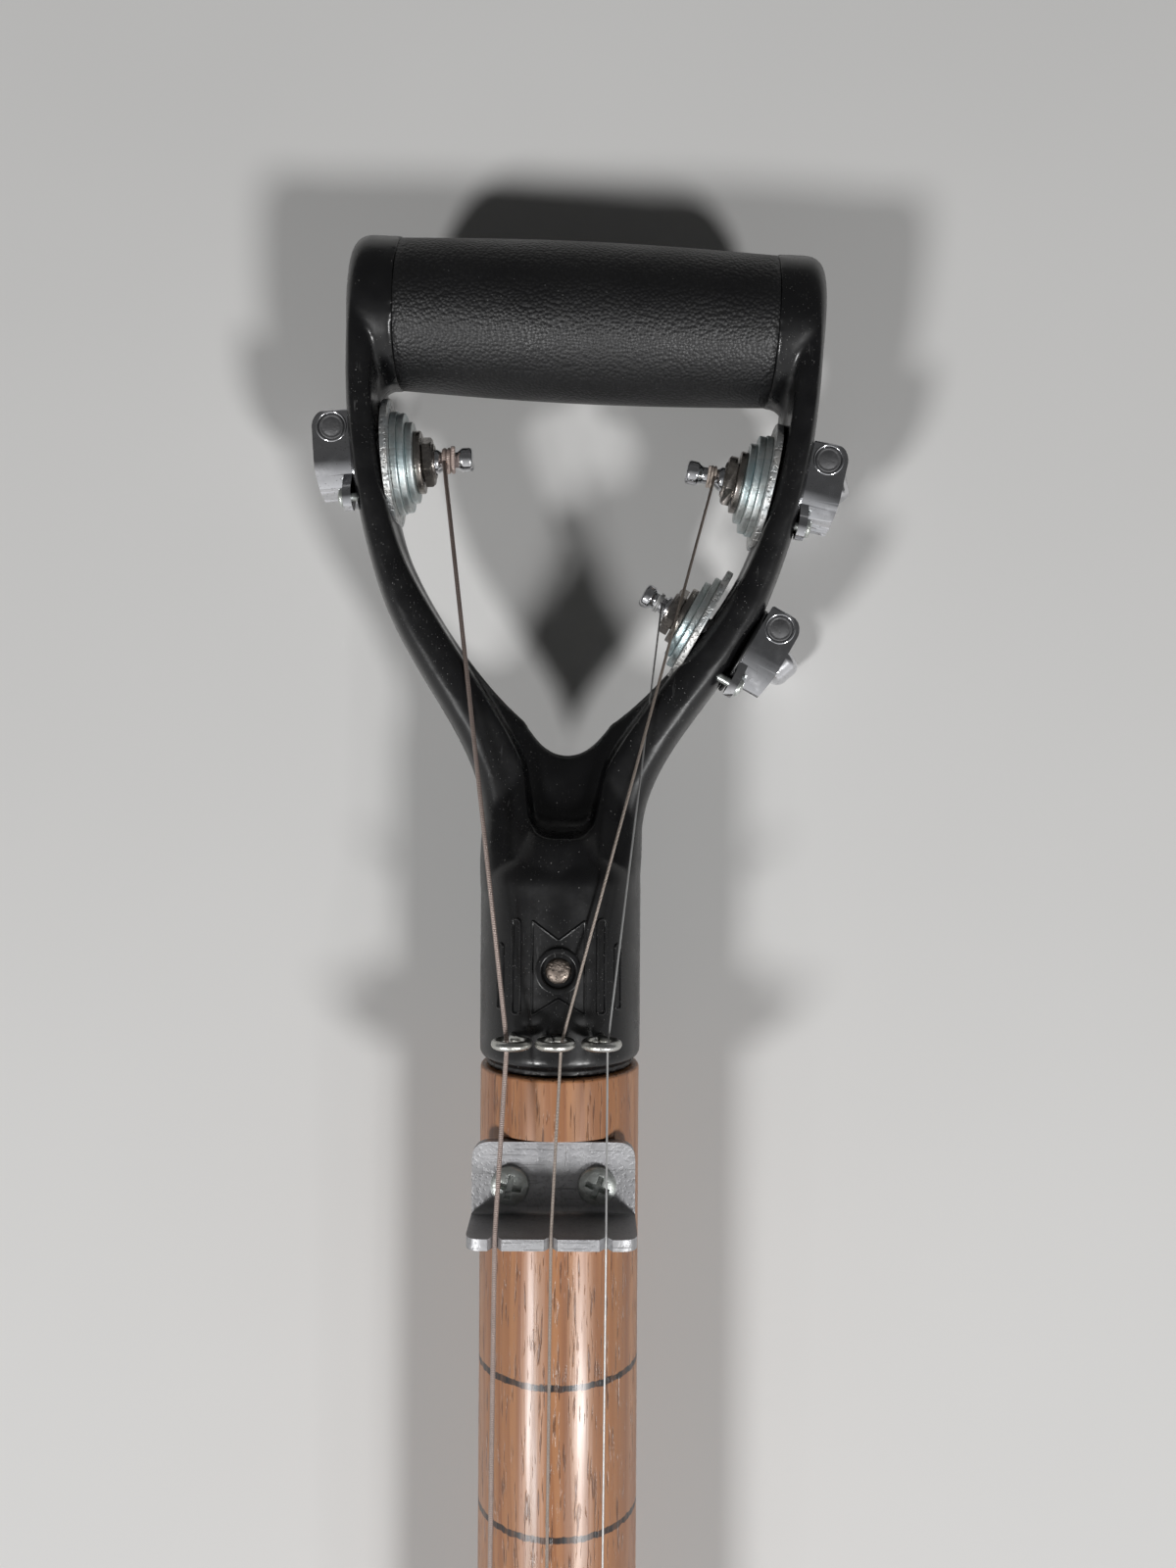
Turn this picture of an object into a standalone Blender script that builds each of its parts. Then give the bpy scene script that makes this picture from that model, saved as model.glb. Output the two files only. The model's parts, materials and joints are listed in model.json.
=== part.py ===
"""Shovel guitar: a round-point shovel with a moulded D-grip, strung with three strings.

The instrument lies on its back with the strings up. +Y runs from the blade to the D-grip,
+X to the player's right as seen from the strings, and +Z up. It rests on the ends of the
three tuner buttons and on the back of the blade, which share the plane z = 0.

Two frames are used below. The neck frame has its origin on the shaft axis under the nut's
string edge. The grip frame has its Y along the middle of the grip's fork, which leans a little
from the shaft about a point up its socket. Sizes are metres, written in millimetres times MM.
"""
import math
from dataclasses import dataclass

import bmesh
import bpy
import numpy as np
from mathutils import Matrix, Vector

MM = 0.001
CLEAR = 0.3 * MM
DEG = math.pi / 180.0

# Sides of round pieces: large turned ones, middling ones, and small fasteners
LARGE_SIDES = 24
ROUND_SIDES = 16
SMALL_SIDES = 10

# Shaft
SHAFT_R = 19.0 * MM
TENON_R = 15.0 * MM
SHOULDER_GAP = 1.6 * MM
TENON_LEN = 50.0 * MM
TONGUE_LEN = 108.0 * MM
TONGUE_TAPER = 15.0 * MM
TONGUE_END_R = 10.0 * MM
TONGUE_POINT = 30.0 * MM

# Strings: scale length, gauges and where they cross the nut and the bridge
SCALE = 648.0 * MM
STRING_DIA = (1.05 * MM, 0.70 * MM, 0.45 * MM)
NUT_X = (-12.5 * MM, -0.6 * MM, 11.3 * MM)
BRIDGE_X = (-19.5 * MM, -5.5 * MM, 8.0 * MM)
NUT_STRING_Z = 31.5 * MM
BRIDGE_STRING_Z = 17.0 * MM
BALL_R = 1.9 * MM
BALL_LEN = 3.5 * MM

# Nut and bridge angles
NUT_LEG = 18.7 * MM
NUT_LEN = 37.4 * MM
NUT_OFFSET = -0.1 * MM
ANGLE_WALL = 2.5 * MM
ANGLE_CORNER = 4.0 * MM
NUT_FLOOR_Z = 14.0 * MM
NUT_NOTCH_SPARE = 0.6 * MM
NUT_SCREW_SPACING = 19.8 * MM
NUT_SCREW_IN = 9.0 * MM
NUT_SCREW_LEN = 18.0 * MM
BRIDGE_RISE = 2.3 * MM
BRIDGE_FOOT = 25.0 * MM
BRIDGE_LEN = 44.0 * MM
BRIDGE_SCREW_SPACING = 24.0 * MM
SCREW_R = 2.0 * MM
SCREW_HEAD_R = 4.4 * MM
SCREW_HEAD_H = 2.4 * MM

# Screw eyes
EYE_RISE = 9.0 * MM
EYE_X = (-9.6 * MM, 0.0, 10.1 * MM)
EYE_STRING_SHIFT = (-1.0 * MM, 1.3 * MM, 1.4 * MM)
EYE_STRING_LIFT = 0.5 * MM
EYE_RING_Z = 23.7 * MM
EYE_RING_R = 3.55 * MM
EYE_WIRE_R = 1.0 * MM
EYE_SHANK_END = 5.0 * MM

# D-grip
SOCKET_START = 33.1 * MM
SOCKET_LOW = 1.8 * MM
SOCKET_R = 19.2 * MM
SOCKET_TOP = 44.0 * MM
SOCKET_DOME = 12.0 * MM
SOCKET_LIP = 1.2 * MM
GRIP_CANT = -2.4 * DEG
GRIP_PIVOT = 50.0 * MM
CROTCH_Y = 74.0 * MM
CROSSBAR_Y = 178.0 * MM
GRIP_HALF = 56.0 * MM
ARM_THICK = 7.0 * MM
ARM_DEPTH = 12.0 * MM
ARM_EDGE = 9.4 * MM
WEB_DEPTH = 8.3 * MM
WEB_EDGE = 6.7 * MM
END_R = 17.6 * MM
END_ROUND = 7.0 * MM
COLLAR = 4.8 * MM
COLLAR_R = 17.2 * MM
CORE_R = 11.0 * MM
SLEEVE_END_R = 17.3 * MM
SLEEVE_MID_R = 18.35 * MM
RIVET_RISE = 24.9 * MM
RIVET_R = 2.4 * MM
RIVET_HEAD_R = 3.0 * MM
RIVET_HEAD_H = 1.3 * MM
BOSS_R = 5.1 * MM
BOSS_H = 1.0 * MM

# Tuners: worm drive, housing, button, post and the washers that pack it out
TEETH = 15
WORM_LEAD = 2.35 * MM
CENTRE_DISTANCE = 7.6 * MM
ADDENDUM = 0.6 * MM
TIP_GAP = 0.35 * MM
FLANK_GAP = 0.3 * MM
FLANK_SLOPE = math.tan(20.0 * DEG)
WHEEL_HALF = 1.2 * MM
WORM_TURNS = 2.6
HOUSING_H = 8.7 * MM
HOUSING_HALF = 8.2 * MM
HOUSING_TOP = 11.8 * MM
HOUSING_ROUND_U = 0.2 * MM
HOUSING_CORNER = 4.2 * MM
WHEEL_OUT = 4.1 * MM
EAR_U = -9.3 * MM
EAR_Z = 8.2 * MM
EAR_R = 3.1 * MM
EAR_THICK = 2.0 * MM
MOUNT_SCREW_R = 1.0 * MM
MOUNT_HEAD_R = 2.2 * MM
MOUNT_HEAD_H = 1.5 * MM
MOUNT_SCREW_BITE = 4.6 * MM
PLUG_R = 2.95 * MM
PLUG_H = 2.2 * MM
PLUG_RECESS = 0.2 * MM
WORM_SHAFT_R = 2.0 * MM
PIVOT_R = 1.2 * MM
BUTTON_START = 18.5 * MM
BUTTON_END = 33.0 * MM
BUTTON_HALF_LONG = 11.6 * MM
BUTTON_HALF_THICK = 4.0 * MM
BUTTON_LAND = 5.2 * MM
BUTTON_CAP = 3.7 * MM
BUTTON_SCREW_R = 1.0 * MM
BUTTON_SCREW_HEAD_R = 2.3 * MM
BUTTON_SCREW_HEAD_H = 1.2 * MM
BUTTON_SCREW_BITE = 4.7 * MM
POST_R = 2.9 * MM
POST_WAIST_R = 2.15 * MM
POST_OUT = 9.5 * MM
LOWER_POST_OUT = 7.4 * MM
WAIST_START = 1.9 * MM
POST_HEAD = 1.9 * MM
BUSHING_WALL = 1.0 * MM
BUSHING_BITE = 2.0 * MM
HEX_LIP = 0.7 * MM
HEX_H = 2.2 * MM
WASHER_H = 1.34 * MM
SHIM_R = 11.0 * MM
SHIM_H = 0.6 * MM
WIND_GAP = 0.43 * MM
WIND_START = 2.6 * MM
SPOT_FACE = 4.0 * MM
HOUSING_SINK = 0.9 * MM
HOUSING_FLAT_R = 15.5 * MM
WASHER_RADII = (15.2 * MM, 12.1 * MM, 11.7 * MM, 9.6 * MM, 7.4 * MM)
LOWER_WASHER_RADII = (14.8 * MM, 12.0 * MM, 10.0 * MM, 7.2 * MM)
LEFT_HEIGHT = 141.5 * MM
UPPER_HEIGHT = 139.3 * MM
LOWER_HEIGHT = 101.5 * MM

# Blade
SHEET = 2.0 * MM
BLADE_SOCKET_R = 18.2 * MM
BLADE_SOCKET_WRAP = 170.0 * DEG
BLADE_MOUTH = -317.0 * MM
BLADE_SOCKET_LEN = 113.0 * MM
BLADE_OPENING = 88.0 * MM
BLADE_DROP = 160.0 * MM
BLADE_THROAT_HALF = 33.0 * MM
BLADE_SHOULDER = -512.0 * MM
SHOULDER_LEN = 26.0 * MM
BLADE_HALF = 111.0 * MM
BLADE_POINT_START = -640.0 * MM
BLADE_TIP = -809.0 * MM
BLADE_TIP_HALF = 5.0 * MM
BLADE_DISH_R = 260.0 * MM
BLADE_FLAT_LEN = 158.0 * MM
BLADE_LIFT = 32.0 * MM
BLADE_RIVET_IN = 28.0 * MM
BLADE_RIVET_R = 2.5 * MM
BLADE_RIVET_HEAD_R = 4.5 * MM
BLADE_RIVET_HEAD_H = 2.2 * MM
TREAD_H = 11.0 * MM
TREAD_IN = 66.0 * MM
TREAD_OUT = 101.0 * MM
ANCHOR_BACK = 87.0 * MM
ANCHOR_HOLE_R = 1.6 * MM

# Derived places
HOLE_R = POST_R + CLEAR + BUSHING_WALL + CLEAR
WHEEL_PITCH_R = TEETH * WORM_LEAD / (2.0 * math.pi)
WHEEL_TIP_R = WHEEL_PITCH_R + ADDENDUM
WORM_PITCH_R = CENTRE_DISTANCE - WHEEL_PITCH_R
WORM_TIP_R = WORM_PITCH_R + ADDENDUM
WORM_ROOT_R = CENTRE_DISTANCE - WHEEL_TIP_R - TIP_GAP
WHEEL_ROOT_R = CENTRE_DISTANCE - WORM_TIP_R - TIP_GAP
TOOTH_HALF = 0.25 * WORM_LEAD - 0.5 * FLANK_GAP
SLEEVE_HALF = GRIP_HALF - ARM_THICK - COLLAR
TONGUE_R = BLADE_SOCKET_R - 0.5 * SHEET - 0.5 * MM
BLADE_FLOOR_Z = 0.5 * SHEET - BUTTON_END
BLADE_FLAT_END = BLADE_SHOULDER - BLADE_FLAT_LEN
BLADE_TIP_SLOPE = 2.0 * BLADE_LIFT / (BLADE_FLAT_END - BLADE_TIP)
BLADE_END = BLADE_TIP - 0.5 * SHEET * math.sin(math.atan(BLADE_TIP_SLOPE))
GRIP_FOOT = (GRIP_PIVOT * math.sin(GRIP_CANT),
             SOCKET_START + GRIP_PIVOT * (1.0 - math.cos(GRIP_CANT)), 0.0)
GRIP_TOP = (GRIP_FOOT[1] + END_ROUND + (GRIP_HALF - END_ROUND) * abs(math.sin(GRIP_CANT))
            + (CROSSBAR_Y + END_R - END_ROUND) * math.cos(GRIP_CANT))

# Turns that lay a shape made about Z along another axis of its frame
ALONG_Y = (-0.5 * math.pi, 0.0, 0.0)
ALONG_X = (0.0, 0.5 * math.pi, 0.0)
INTO_ARM = (0.0, -0.5 * math.pi, 0.0)
STAND_ACROSS = (0.5 * math.pi, 0.0, 0.5 * math.pi)


@dataclass(frozen=True)
class Tuner:
    """One tuning machine: where it sits on the grip, and what packs it out."""

    name: str
    side: int
    height: float
    lean: float
    string: int
    washers: tuple
    post_out: float
    shimmed: bool
    turns: int
    button_turn: float


TUNERS = (
    Tuner("left", -1, LEFT_HEIGHT, 2.6 * DEG, 0, WASHER_RADII, POST_OUT, False, 3, 96.0 * DEG),
    Tuner("right_upper", 1, UPPER_HEIGHT, 0.1 * DEG, 1, WASHER_RADII, POST_OUT, False, 3, 24.0 * DEG),
    Tuner("right_lower", 1, LOWER_HEIGHT, 1.9 * DEG, 2, LOWER_WASHER_RADII, LOWER_POST_OUT, True, 3,
          -20.0 * DEG),
)


def clear_scene():
    """Remove every object and make the collections for parts and cutters."""
    for obj in list(bpy.data.objects):
        bpy.data.objects.remove(obj, do_unlink=True)
    for name in ("shovel_guitar", "cutters"):
        collection = bpy.data.collections.new(name)
        bpy.context.scene.collection.children.link(collection)


def material(name, colour, roughness, metallic):
    """Return a Principled material with the given base colour and finish."""
    mat = bpy.data.materials.new(name)
    mat.use_nodes = True
    shader = mat.node_tree.nodes["Principled BSDF"]
    shader.inputs["Base Color"].default_value = (*colour, 1.0)
    shader.inputs["Roughness"].default_value = roughness
    shader.inputs["Metallic"].default_value = metallic
    mat.diffuse_color = (*colour, 1.0)
    return mat


def place(obj, collection, parent, location, rotation):
    """Link an object, hang it on its parent and set where it sits there."""
    bpy.data.collections[collection].objects.link(obj)
    obj.parent = parent
    obj.location = location
    obj.rotation_euler = rotation
    return obj


def empty(name, parent, location=(0, 0, 0), rotation=(0, 0, 0)):
    """Return an empty that carries a frame."""
    return place(bpy.data.objects.new(name, None), "shovel_guitar", parent, location, rotation)


def part(name, mesh, mat, parent, location=(0, 0, 0), rotation=(0, 0, 0)):
    """Return one named piece with its material and smooth round faces."""
    mesh.name = name
    mesh.materials.clear()
    mesh.materials.append(mat)
    mesh.shade_smooth()
    mesh.set_sharp_from_angle(angle=32.0 * DEG)
    return place(bpy.data.objects.new(name, mesh), "shovel_guitar", parent, location, rotation)


def tool(name, mesh, parent, location=(0, 0, 0), rotation=(0, 0, 0)):
    """Return a hidden body that shapes a piece."""
    obj = place(bpy.data.objects.new(name, mesh), "cutters", parent, location, rotation)
    obj.hide_render = True
    obj.display_type = "WIRE"
    return obj


def boolean(obj, other, operation):
    """Shape a piece with another body: DIFFERENCE, UNION or INTERSECT."""
    mod = obj.modifiers.new(operation.lower() + "_" + other.name, "BOOLEAN")
    mod.operation = operation
    mod.object = other
    mod.solver = "EXACT"


def mesh_from(verts, faces):
    """Return a closed mesh with its faces turned out."""
    mesh = bpy.data.meshes.new("shape")
    mesh.from_pydata([tuple(v) for v in verts], [], faces)
    work = bmesh.new()
    work.from_mesh(mesh)
    bmesh.ops.recalc_face_normals(work, faces=work.faces)
    work.to_mesh(mesh)
    work.free()
    return mesh


def evaluated(obj):
    """Turn a working object into a mesh with welded seams, and drop the object."""
    bpy.context.scene.collection.objects.link(obj)
    bpy.context.view_layer.update()
    graph = bpy.context.evaluated_depsgraph_get()
    mesh = bpy.data.meshes.new_from_object(obj.evaluated_get(graph))
    bpy.data.objects.remove(obj, do_unlink=True)
    work = bmesh.new()
    work.from_mesh(mesh)
    bmesh.ops.remove_doubles(work, verts=work.verts, dist=0.002 * MM)
    bmesh.ops.recalc_face_normals(work, faces=work.faces)
    work.to_mesh(mesh)
    work.free()
    return mesh


def turned(profile, segments=ROUND_SIDES, closed=False):
    """Return a solid turned about Z from (radius, height) points, listed bottom to top."""
    points = [(r, 0.0, h) for r, h in reversed(profile)]
    edges = [(i, i + 1) for i in range(len(points) - 1)]
    if closed:
        edges.append((len(points) - 1, 0))
    mesh = bpy.data.meshes.new("profile")
    mesh.from_pydata(points, edges, [])
    obj = bpy.data.objects.new("profile", mesh)
    screw = obj.modifiers.new("turn", "SCREW")
    screw.steps = segments
    screw.render_steps = segments
    screw.use_merge_vertices = True
    screw.merge_threshold = 0.002 * MM
    return evaluated(obj)


def cylinder(radius, low, high, segments=ROUND_SIDES):
    """Return a cylinder along Z between two heights."""
    mesh = bpy.data.meshes.new("cylinder")
    work = bmesh.new()
    bmesh.ops.create_cone(work, cap_ends=True, segments=segments, radius1=radius, radius2=radius,
                          depth=high - low, matrix=Matrix.Translation((0, 0, 0.5 * (low + high))))
    work.to_mesh(mesh)
    work.free()
    return mesh


def box(low, high):
    """Return a box between two corners."""
    size = Vector(high) - Vector(low)
    middle = 0.5 * (Vector(high) + Vector(low))
    mesh = bpy.data.meshes.new("box")
    work = bmesh.new()
    bmesh.ops.create_cube(work, size=1.0,
                          matrix=Matrix.Translation(middle) @ Matrix.Diagonal((*size, 1.0)))
    work.to_mesh(mesh)
    work.free()
    return mesh


def ring(inner, outer, low, high, segments=ROUND_SIDES):
    """Return a flat ring about Z."""
    return turned([(inner, low), (outer, low), (outer, high), (inner, high)], segments, closed=True)


def plate(outline, low, high):
    """Return a flat outline in XY, filled and given thickness from low to high."""
    curve = bpy.data.curves.new("outline", "CURVE")
    curve.dimensions = "2D"
    curve.fill_mode = "BOTH"
    curve.extrude = 0.5 * (high - low)
    spline = curve.splines.new("POLY")
    spline.points.add(len(outline) - 1)
    for target, (x, y) in zip(spline.points, outline):
        target.co = (x, y, 0.0, 1.0)
    spline.use_cyclic_u = True
    mesh = evaluated(bpy.data.objects.new("outline", curve))
    mesh.transform(Matrix.Translation((0, 0, 0.5 * (low + high))))
    return mesh


def loft(sections):
    """Return a closed body through equal rings of points, capped at both ends."""
    count = len(sections[0])
    verts = [point for section in sections for point in section]
    faces = []
    for row in range(len(sections) - 1):
        for i in range(count):
            j = (i + 1) % count
            faces.append((row * count + i, row * count + j, (row + 1) * count + j, (row + 1) * count + i))
    faces.append(tuple(range(count)))
    last = (len(sections) - 1) * count
    faces.append(tuple(last + i for i in range(count)))
    return mesh_from(verts, faces)


def wire(name, points, radius, mat, parent, resolution=1, scales=None):
    """Return a round wire along the points, with closed ends."""
    curve = bpy.data.curves.new(name, "CURVE")
    curve.dimensions = "3D"
    curve.bevel_depth = radius
    curve.bevel_resolution = resolution
    curve.use_fill_caps = True
    spline = curve.splines.new("POLY")
    spline.points.add(len(points) - 1)
    for i, point in enumerate(points):
        spline.points[i].co = (*point, 1.0)
        spline.points[i].radius = 1.0 if scales is None else scales[i]
    curve.materials.append(mat)
    return place(bpy.data.objects.new(name, curve), "shovel_guitar", parent, (0, 0, 0), (0, 0, 0))


def arc(centre, radius, start, end, steps):
    """Return points of an arc in a plane, angles in radians."""
    angles = np.linspace(start, end, steps + 1)
    return [(centre[0] + radius * math.cos(a), centre[1] + radius * math.sin(a)) for a in angles]


def bezier(controls, steps):
    """Return points of a cubic curve through its four controls."""
    t = np.linspace(0.0, 1.0, steps + 1)[:, None]
    a, b, c, d = (np.array(p) for p in controls)
    return a * (1 - t) ** 3 + 3 * b * t * (1 - t) ** 2 + 3 * c * t ** 2 * (1 - t) + d * t ** 3


def smooth_step(value, start, end):
    """Return 0 to 1 as value goes from start to end, level at both ends."""
    t = min(max((value - start) / (end - start), 0.0), 1.0)
    return t * t * (3.0 - 2.0 * t)


def screw_profile(shank_r, length, head_r, head_h):
    """Return the profile of a pan-head screw whose head seats on z = 0 and bites below it."""
    return [(0.0, -length), (shank_r, -length + shank_r), (shank_r, 0.0), (head_r, 0.0),
            (head_r, head_h * 0.5), (head_r * 0.75, head_h), (0.0, head_h)]


def rivet_profile(radius, half_length, head_r, head_h):
    """Return the profile of a rivet with a domed head at each end."""
    upper = [(radius, half_length), (head_r, half_length), (head_r * 0.85, half_length + head_h * 0.7),
             (0.0, half_length + head_h)]
    return [(r, -h) for r, h in reversed(upper)] + upper


def grip_contours(steps):
    """Return the inner and outer edges of the right arm at mid depth, from the crotch up."""
    w, c, k, t, s = GRIP_HALF, CROSSBAR_Y, CROTCH_Y, ARM_THICK, SOCKET_R
    crotch = (10.5 * MM, k + 8.0 * MM)
    inner_hip = (w - t - 10.0 * MM, c - 59.8 * MM)
    outer_web = (s, k - 17.0 * MM)
    outer_hip = (w - 8.8 * MM, c - 64.0 * MM)
    inner = (((0.0, k), (4.5 * MM, k), (7.5 * MM, k + 3.5 * MM), crotch),
             (crotch, (19.5 * MM, k + 14.5 * MM), (w - t - 16.6 * MM, c - 73.3 * MM), inner_hip),
             (inner_hip, (w - t - 3.9 * MM, c - 46.5 * MM), (w - t, c - 27.0 * MM), (w - t, c)))
    outer = (((0.0, k - 46.0 * MM), (16.0 * MM, k - 46.0 * MM), (s + 1.2 * MM, k - 42.0 * MM), outer_web),
             (outer_web, (s + 0.9 * MM, k + 3.0 * MM), (w - 16.3 * MM, c - 87.0 * MM), outer_hip),
             (outer_hip, (w - 3.0 * MM, c - 47.0 * MM), (w + 0.7 * MM, c - 30.0 * MM), (w, c)))
    edges = []
    for curves in (inner, outer):
        pieces = [bezier(controls, count) for controls, count in zip(curves, steps)]
        edges.append(np.concatenate([pieces[0]] + [piece[1:] for piece in pieces[1:]]))
    return edges


def fork_section(inner, outer, depth, edge, bulge):
    """Return one section of an arm: a scooped inner face, crisp edges and a rounded back.

    The section runs from the inner edge of the arm (reach 0) to its outer edge. The inner
    face is a scoop: a rounded lip, a nearly level floor and a steep wall up to each crisp
    edge. The rest is a dome that closes as a squarish ellipse.
    """
    span = outer - inner
    length = float(np.linalg.norm(span))
    bow = min(bulge, 0.6 * length)
    crest = bow + 0.4 * (length - bow)
    scoop = ((1.0, 1.0), (0.85, 0.5), (0.25, 0.3))
    face = [(bow * n, -edge * z) for n, z in scoop] + [(0.0, 0.0)]
    face += [(bow * n, edge * z) for n, z in reversed(scoop)]
    rise = [(bow + (crest - bow) * (1.0 - math.cos(a)), edge + (depth - edge) * math.sin(a))
            for a in (0.25 * math.pi, 0.5 * math.pi)]
    back = [(crest + (length - crest) * math.cos(a) ** 0.5, depth * math.sin(a))
            for a in np.linspace(math.pi / 3.0, -math.pi / 3.0, 5)]
    outline = face + rise + back + [(n, -z) for n, z in reversed(rise)]
    return [(*(inner + span * (n / length)), z) for n, z in outline]


def fork_mesh():
    """Return the two arms and their crotch as one loft through rounded sections."""
    steps = (3, 6, 5)
    inner, outer = grip_contours(steps)
    knots = np.cumsum((0,) + steps)
    stations = np.arange(knots[-1] + 1)
    depth = np.interp(stations, knots, (SOCKET_R - 4.0 * MM, WEB_DEPTH, ARM_DEPTH, ARM_DEPTH + 1.5 * MM))
    edge = np.interp(stations, knots, (SOCKET_R - 6.5 * MM, WEB_EDGE, ARM_EDGE, ARM_EDGE + 1.0 * MM))
    bulge = np.interp(stations, knots, (19.0 * MM, 7.0 * MM, 0.8 * MM, 0.4 * MM))
    right = [fork_section(*row) for row in zip(inner, outer, depth, edge, bulge)]
    left = [[(-x, y, z) for x, y, z in section] for section in right[:0:-1]]
    return loft(left + right)


def crossbar_profile():
    """Return the profile of the crossbar: two rounded ends, their collars and a thin core."""
    step = SLEEVE_HALF + CLEAR
    corner = [(END_R - END_ROUND + END_ROUND * math.sin(a), GRIP_HALF - END_ROUND + END_ROUND * math.cos(a))
              for a in np.linspace(0.5 * math.pi, 0.0, 4)]
    upper = [(CORE_R, step), (COLLAR_R, step), (COLLAR_R + 0.4 * MM, step + 1.0 * MM)]
    upper += corner + [(0.0, GRIP_HALF)]
    return [(r, -h) for r, h in reversed(upper)] + upper


def make_grip(frame, neck, black, rubber, steel):
    """Make the moulded D-grip, its sleeve and the rivet that holds it on the shaft."""
    grip = part("d_grip", fork_mesh(), black, frame)
    dome = [(SOCKET_R * math.cos(a), SOCKET_TOP + SOCKET_DOME * math.sin(a))
            for a in np.linspace(0.0, 0.5 * math.pi, 4)]
    socket = [(0.0, SOCKET_LOW), (SOCKET_R - SOCKET_LIP, SOCKET_LOW), (SOCKET_R, SOCKET_LOW + SOCKET_LIP)]
    socket += dome[:-1]
    socket.append((0.0, SOCKET_TOP + SOCKET_DOME))
    boolean(grip, tool("grip_socket", turned(socket, LARGE_SIDES), neck, (0, SOCKET_START, 0), ALONG_Y),
            "UNION")
    boolean(grip, tool("grip_crossbar", turned(crossbar_profile(), LARGE_SIDES), frame, (0, CROSSBAR_Y, 0),
                       ALONG_X), "UNION")
    boss_half = SOCKET_R + BOSS_H
    middle = (0, SOCKET_START + RIVET_RISE, 0)
    boolean(grip, tool("grip_boss", cylinder(BOSS_R, -boss_half, boss_half), neck, middle), "UNION")
    bore = cylinder(TENON_R + CLEAR, -5.0 * MM, TENON_LEN + CLEAR, LARGE_SIDES)
    boolean(grip, tool("grip_bore", bore, neck, (0, SOCKET_START, 0), ALONG_Y), "DIFFERENCE")
    seat = boss_half - RIVET_HEAD_H - CLEAR
    for turn in (0.0, math.pi):
        pocket = cylinder(RIVET_HEAD_R + CLEAR, seat, boss_half + 1.0 * MM)
        boolean(grip, tool("rivet_pocket", pocket, neck, middle, (turn, 0, 0)), "DIFFERENCE")
    hole = tool("rivet_hole", cylinder(RIVET_R + CLEAR, -boss_half, boss_half), neck, middle)
    boolean(grip, hole, "DIFFERENCE")

    outer = [(SLEEVE_END_R + (SLEEVE_MID_R - SLEEVE_END_R) * math.cos(0.5 * math.pi * h), h * SLEEVE_HALF)
             for h in np.linspace(-1.0, 1.0, 5)]
    bore_r = CORE_R + CLEAR
    sleeve = turned([(bore_r, -SLEEVE_HALF)] + outer + [(bore_r, SLEEVE_HALF)], LARGE_SIDES, closed=True)
    part("grip_sleeve", sleeve, rubber, frame, (0, CROSSBAR_Y, 0), ALONG_X)
    rivet = rivet_profile(RIVET_R, seat + CLEAR, RIVET_HEAD_R, RIVET_HEAD_H)
    part("handle_rivet", turned(rivet, SMALL_SIDES), steel, neck, middle)
    return grip, hole


def make_shaft(neck, wood, rivet_hole):
    """Make the wooden shaft: tenon, round neck, tapered tongue and the flat seat of the nut."""
    top = SOCKET_START + TENON_LEN
    shoulder = SOCKET_START + SOCKET_LOW - SHOULDER_GAP
    tongue_top = BLADE_MOUTH + CLEAR
    point_top = BLADE_MOUTH - TONGUE_LEN
    profile = [(0.0, point_top - TONGUE_POINT), (TONGUE_END_R, point_top - TONGUE_POINT),
               (TONGUE_R, point_top), (TONGUE_R, tongue_top), (SHAFT_R, tongue_top + TONGUE_TAPER),
               (SHAFT_R, shoulder), (TENON_R, shoulder), (TENON_R, top - 2.0 * MM),
               (TENON_R - 2.0 * MM, top), (0.0, top)]
    shaft = part("shaft", turned(profile, LARGE_SIDES), wood, neck, rotation=ALONG_Y)
    reach = SHAFT_R + 5.0 * MM
    notch = box((-reach, -NUT_NOTCH_SPARE, NUT_FLOOR_Z), (reach, NUT_LEG + NUT_NOTCH_SPARE, reach))
    boolean(shaft, tool("nut_notch", notch, neck), "DIFFERENCE")
    boolean(shaft, rivet_hole, "DIFFERENCE")
    across = cylinder(BLADE_RIVET_R + CLEAR, -reach, reach)
    boolean(shaft, tool("blade_rivet_hole", across, neck, (0, BLADE_MOUTH - BLADE_RIVET_IN, 0), ALONG_X),
            "DIFFERENCE")
    return shaft


def angle_outline(foot, upright):
    """Return the L outline of an angle: foot along +X, upright along +Y, rounded inside and out."""
    wall = ANGLE_WALL
    inside = 1.6 * MM
    nose = 0.3 * wall
    corner = (wall + inside, wall + inside)
    return ([(0.0, 0.0)] + arc((foot - nose, nose), nose, -0.5 * math.pi, 0.0, 1)
            + arc((foot - nose, wall - nose), nose, 0.0, 0.5 * math.pi, 1)
            + arc(corner, inside, 1.5 * math.pi, math.pi, 3)
            + arc((wall - nose, upright - nose), nose, 0.0, 0.5 * math.pi, 1)
            + arc((nose, upright - nose), nose, 0.5 * math.pi, math.pi, 1))


def angle_mesh(length, foot, upright, facing):
    """Return an angle as a loft of L outlines that draw in round the corners at its two ends.

    Its foot points along +X or -X, as facing is 1 or -1.
    """
    turns = (0.0, 0.25 * math.pi, 0.5 * math.pi)
    ends = [(0.5 * length - ANGLE_CORNER * (1.0 - math.cos(a)), ANGLE_CORNER * (1.0 - math.sin(a)))
            for a in turns]
    rows = [(-z, inset) for z, inset in ends] + ends[::-1]
    return loft([[(facing * x, y, z) for x, y in angle_outline(foot - inset, upright - inset)]
                 for z, inset in rows])


def slot_strings(angle, neck, places, y, z):
    """Cut a slot for each string in the top of an angle's upright."""
    for index, x in enumerate(places):
        radius = 0.5 * STRING_DIA[index] + CLEAR
        low = (x - radius, y - 3.0 * ANGLE_WALL, z - radius)
        high = (x + radius, y + 3.0 * ANGLE_WALL, z + 6.0 * MM)
        boolean(angle, tool("string_slot", box(low, high), neck), "DIFFERENCE")


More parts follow.
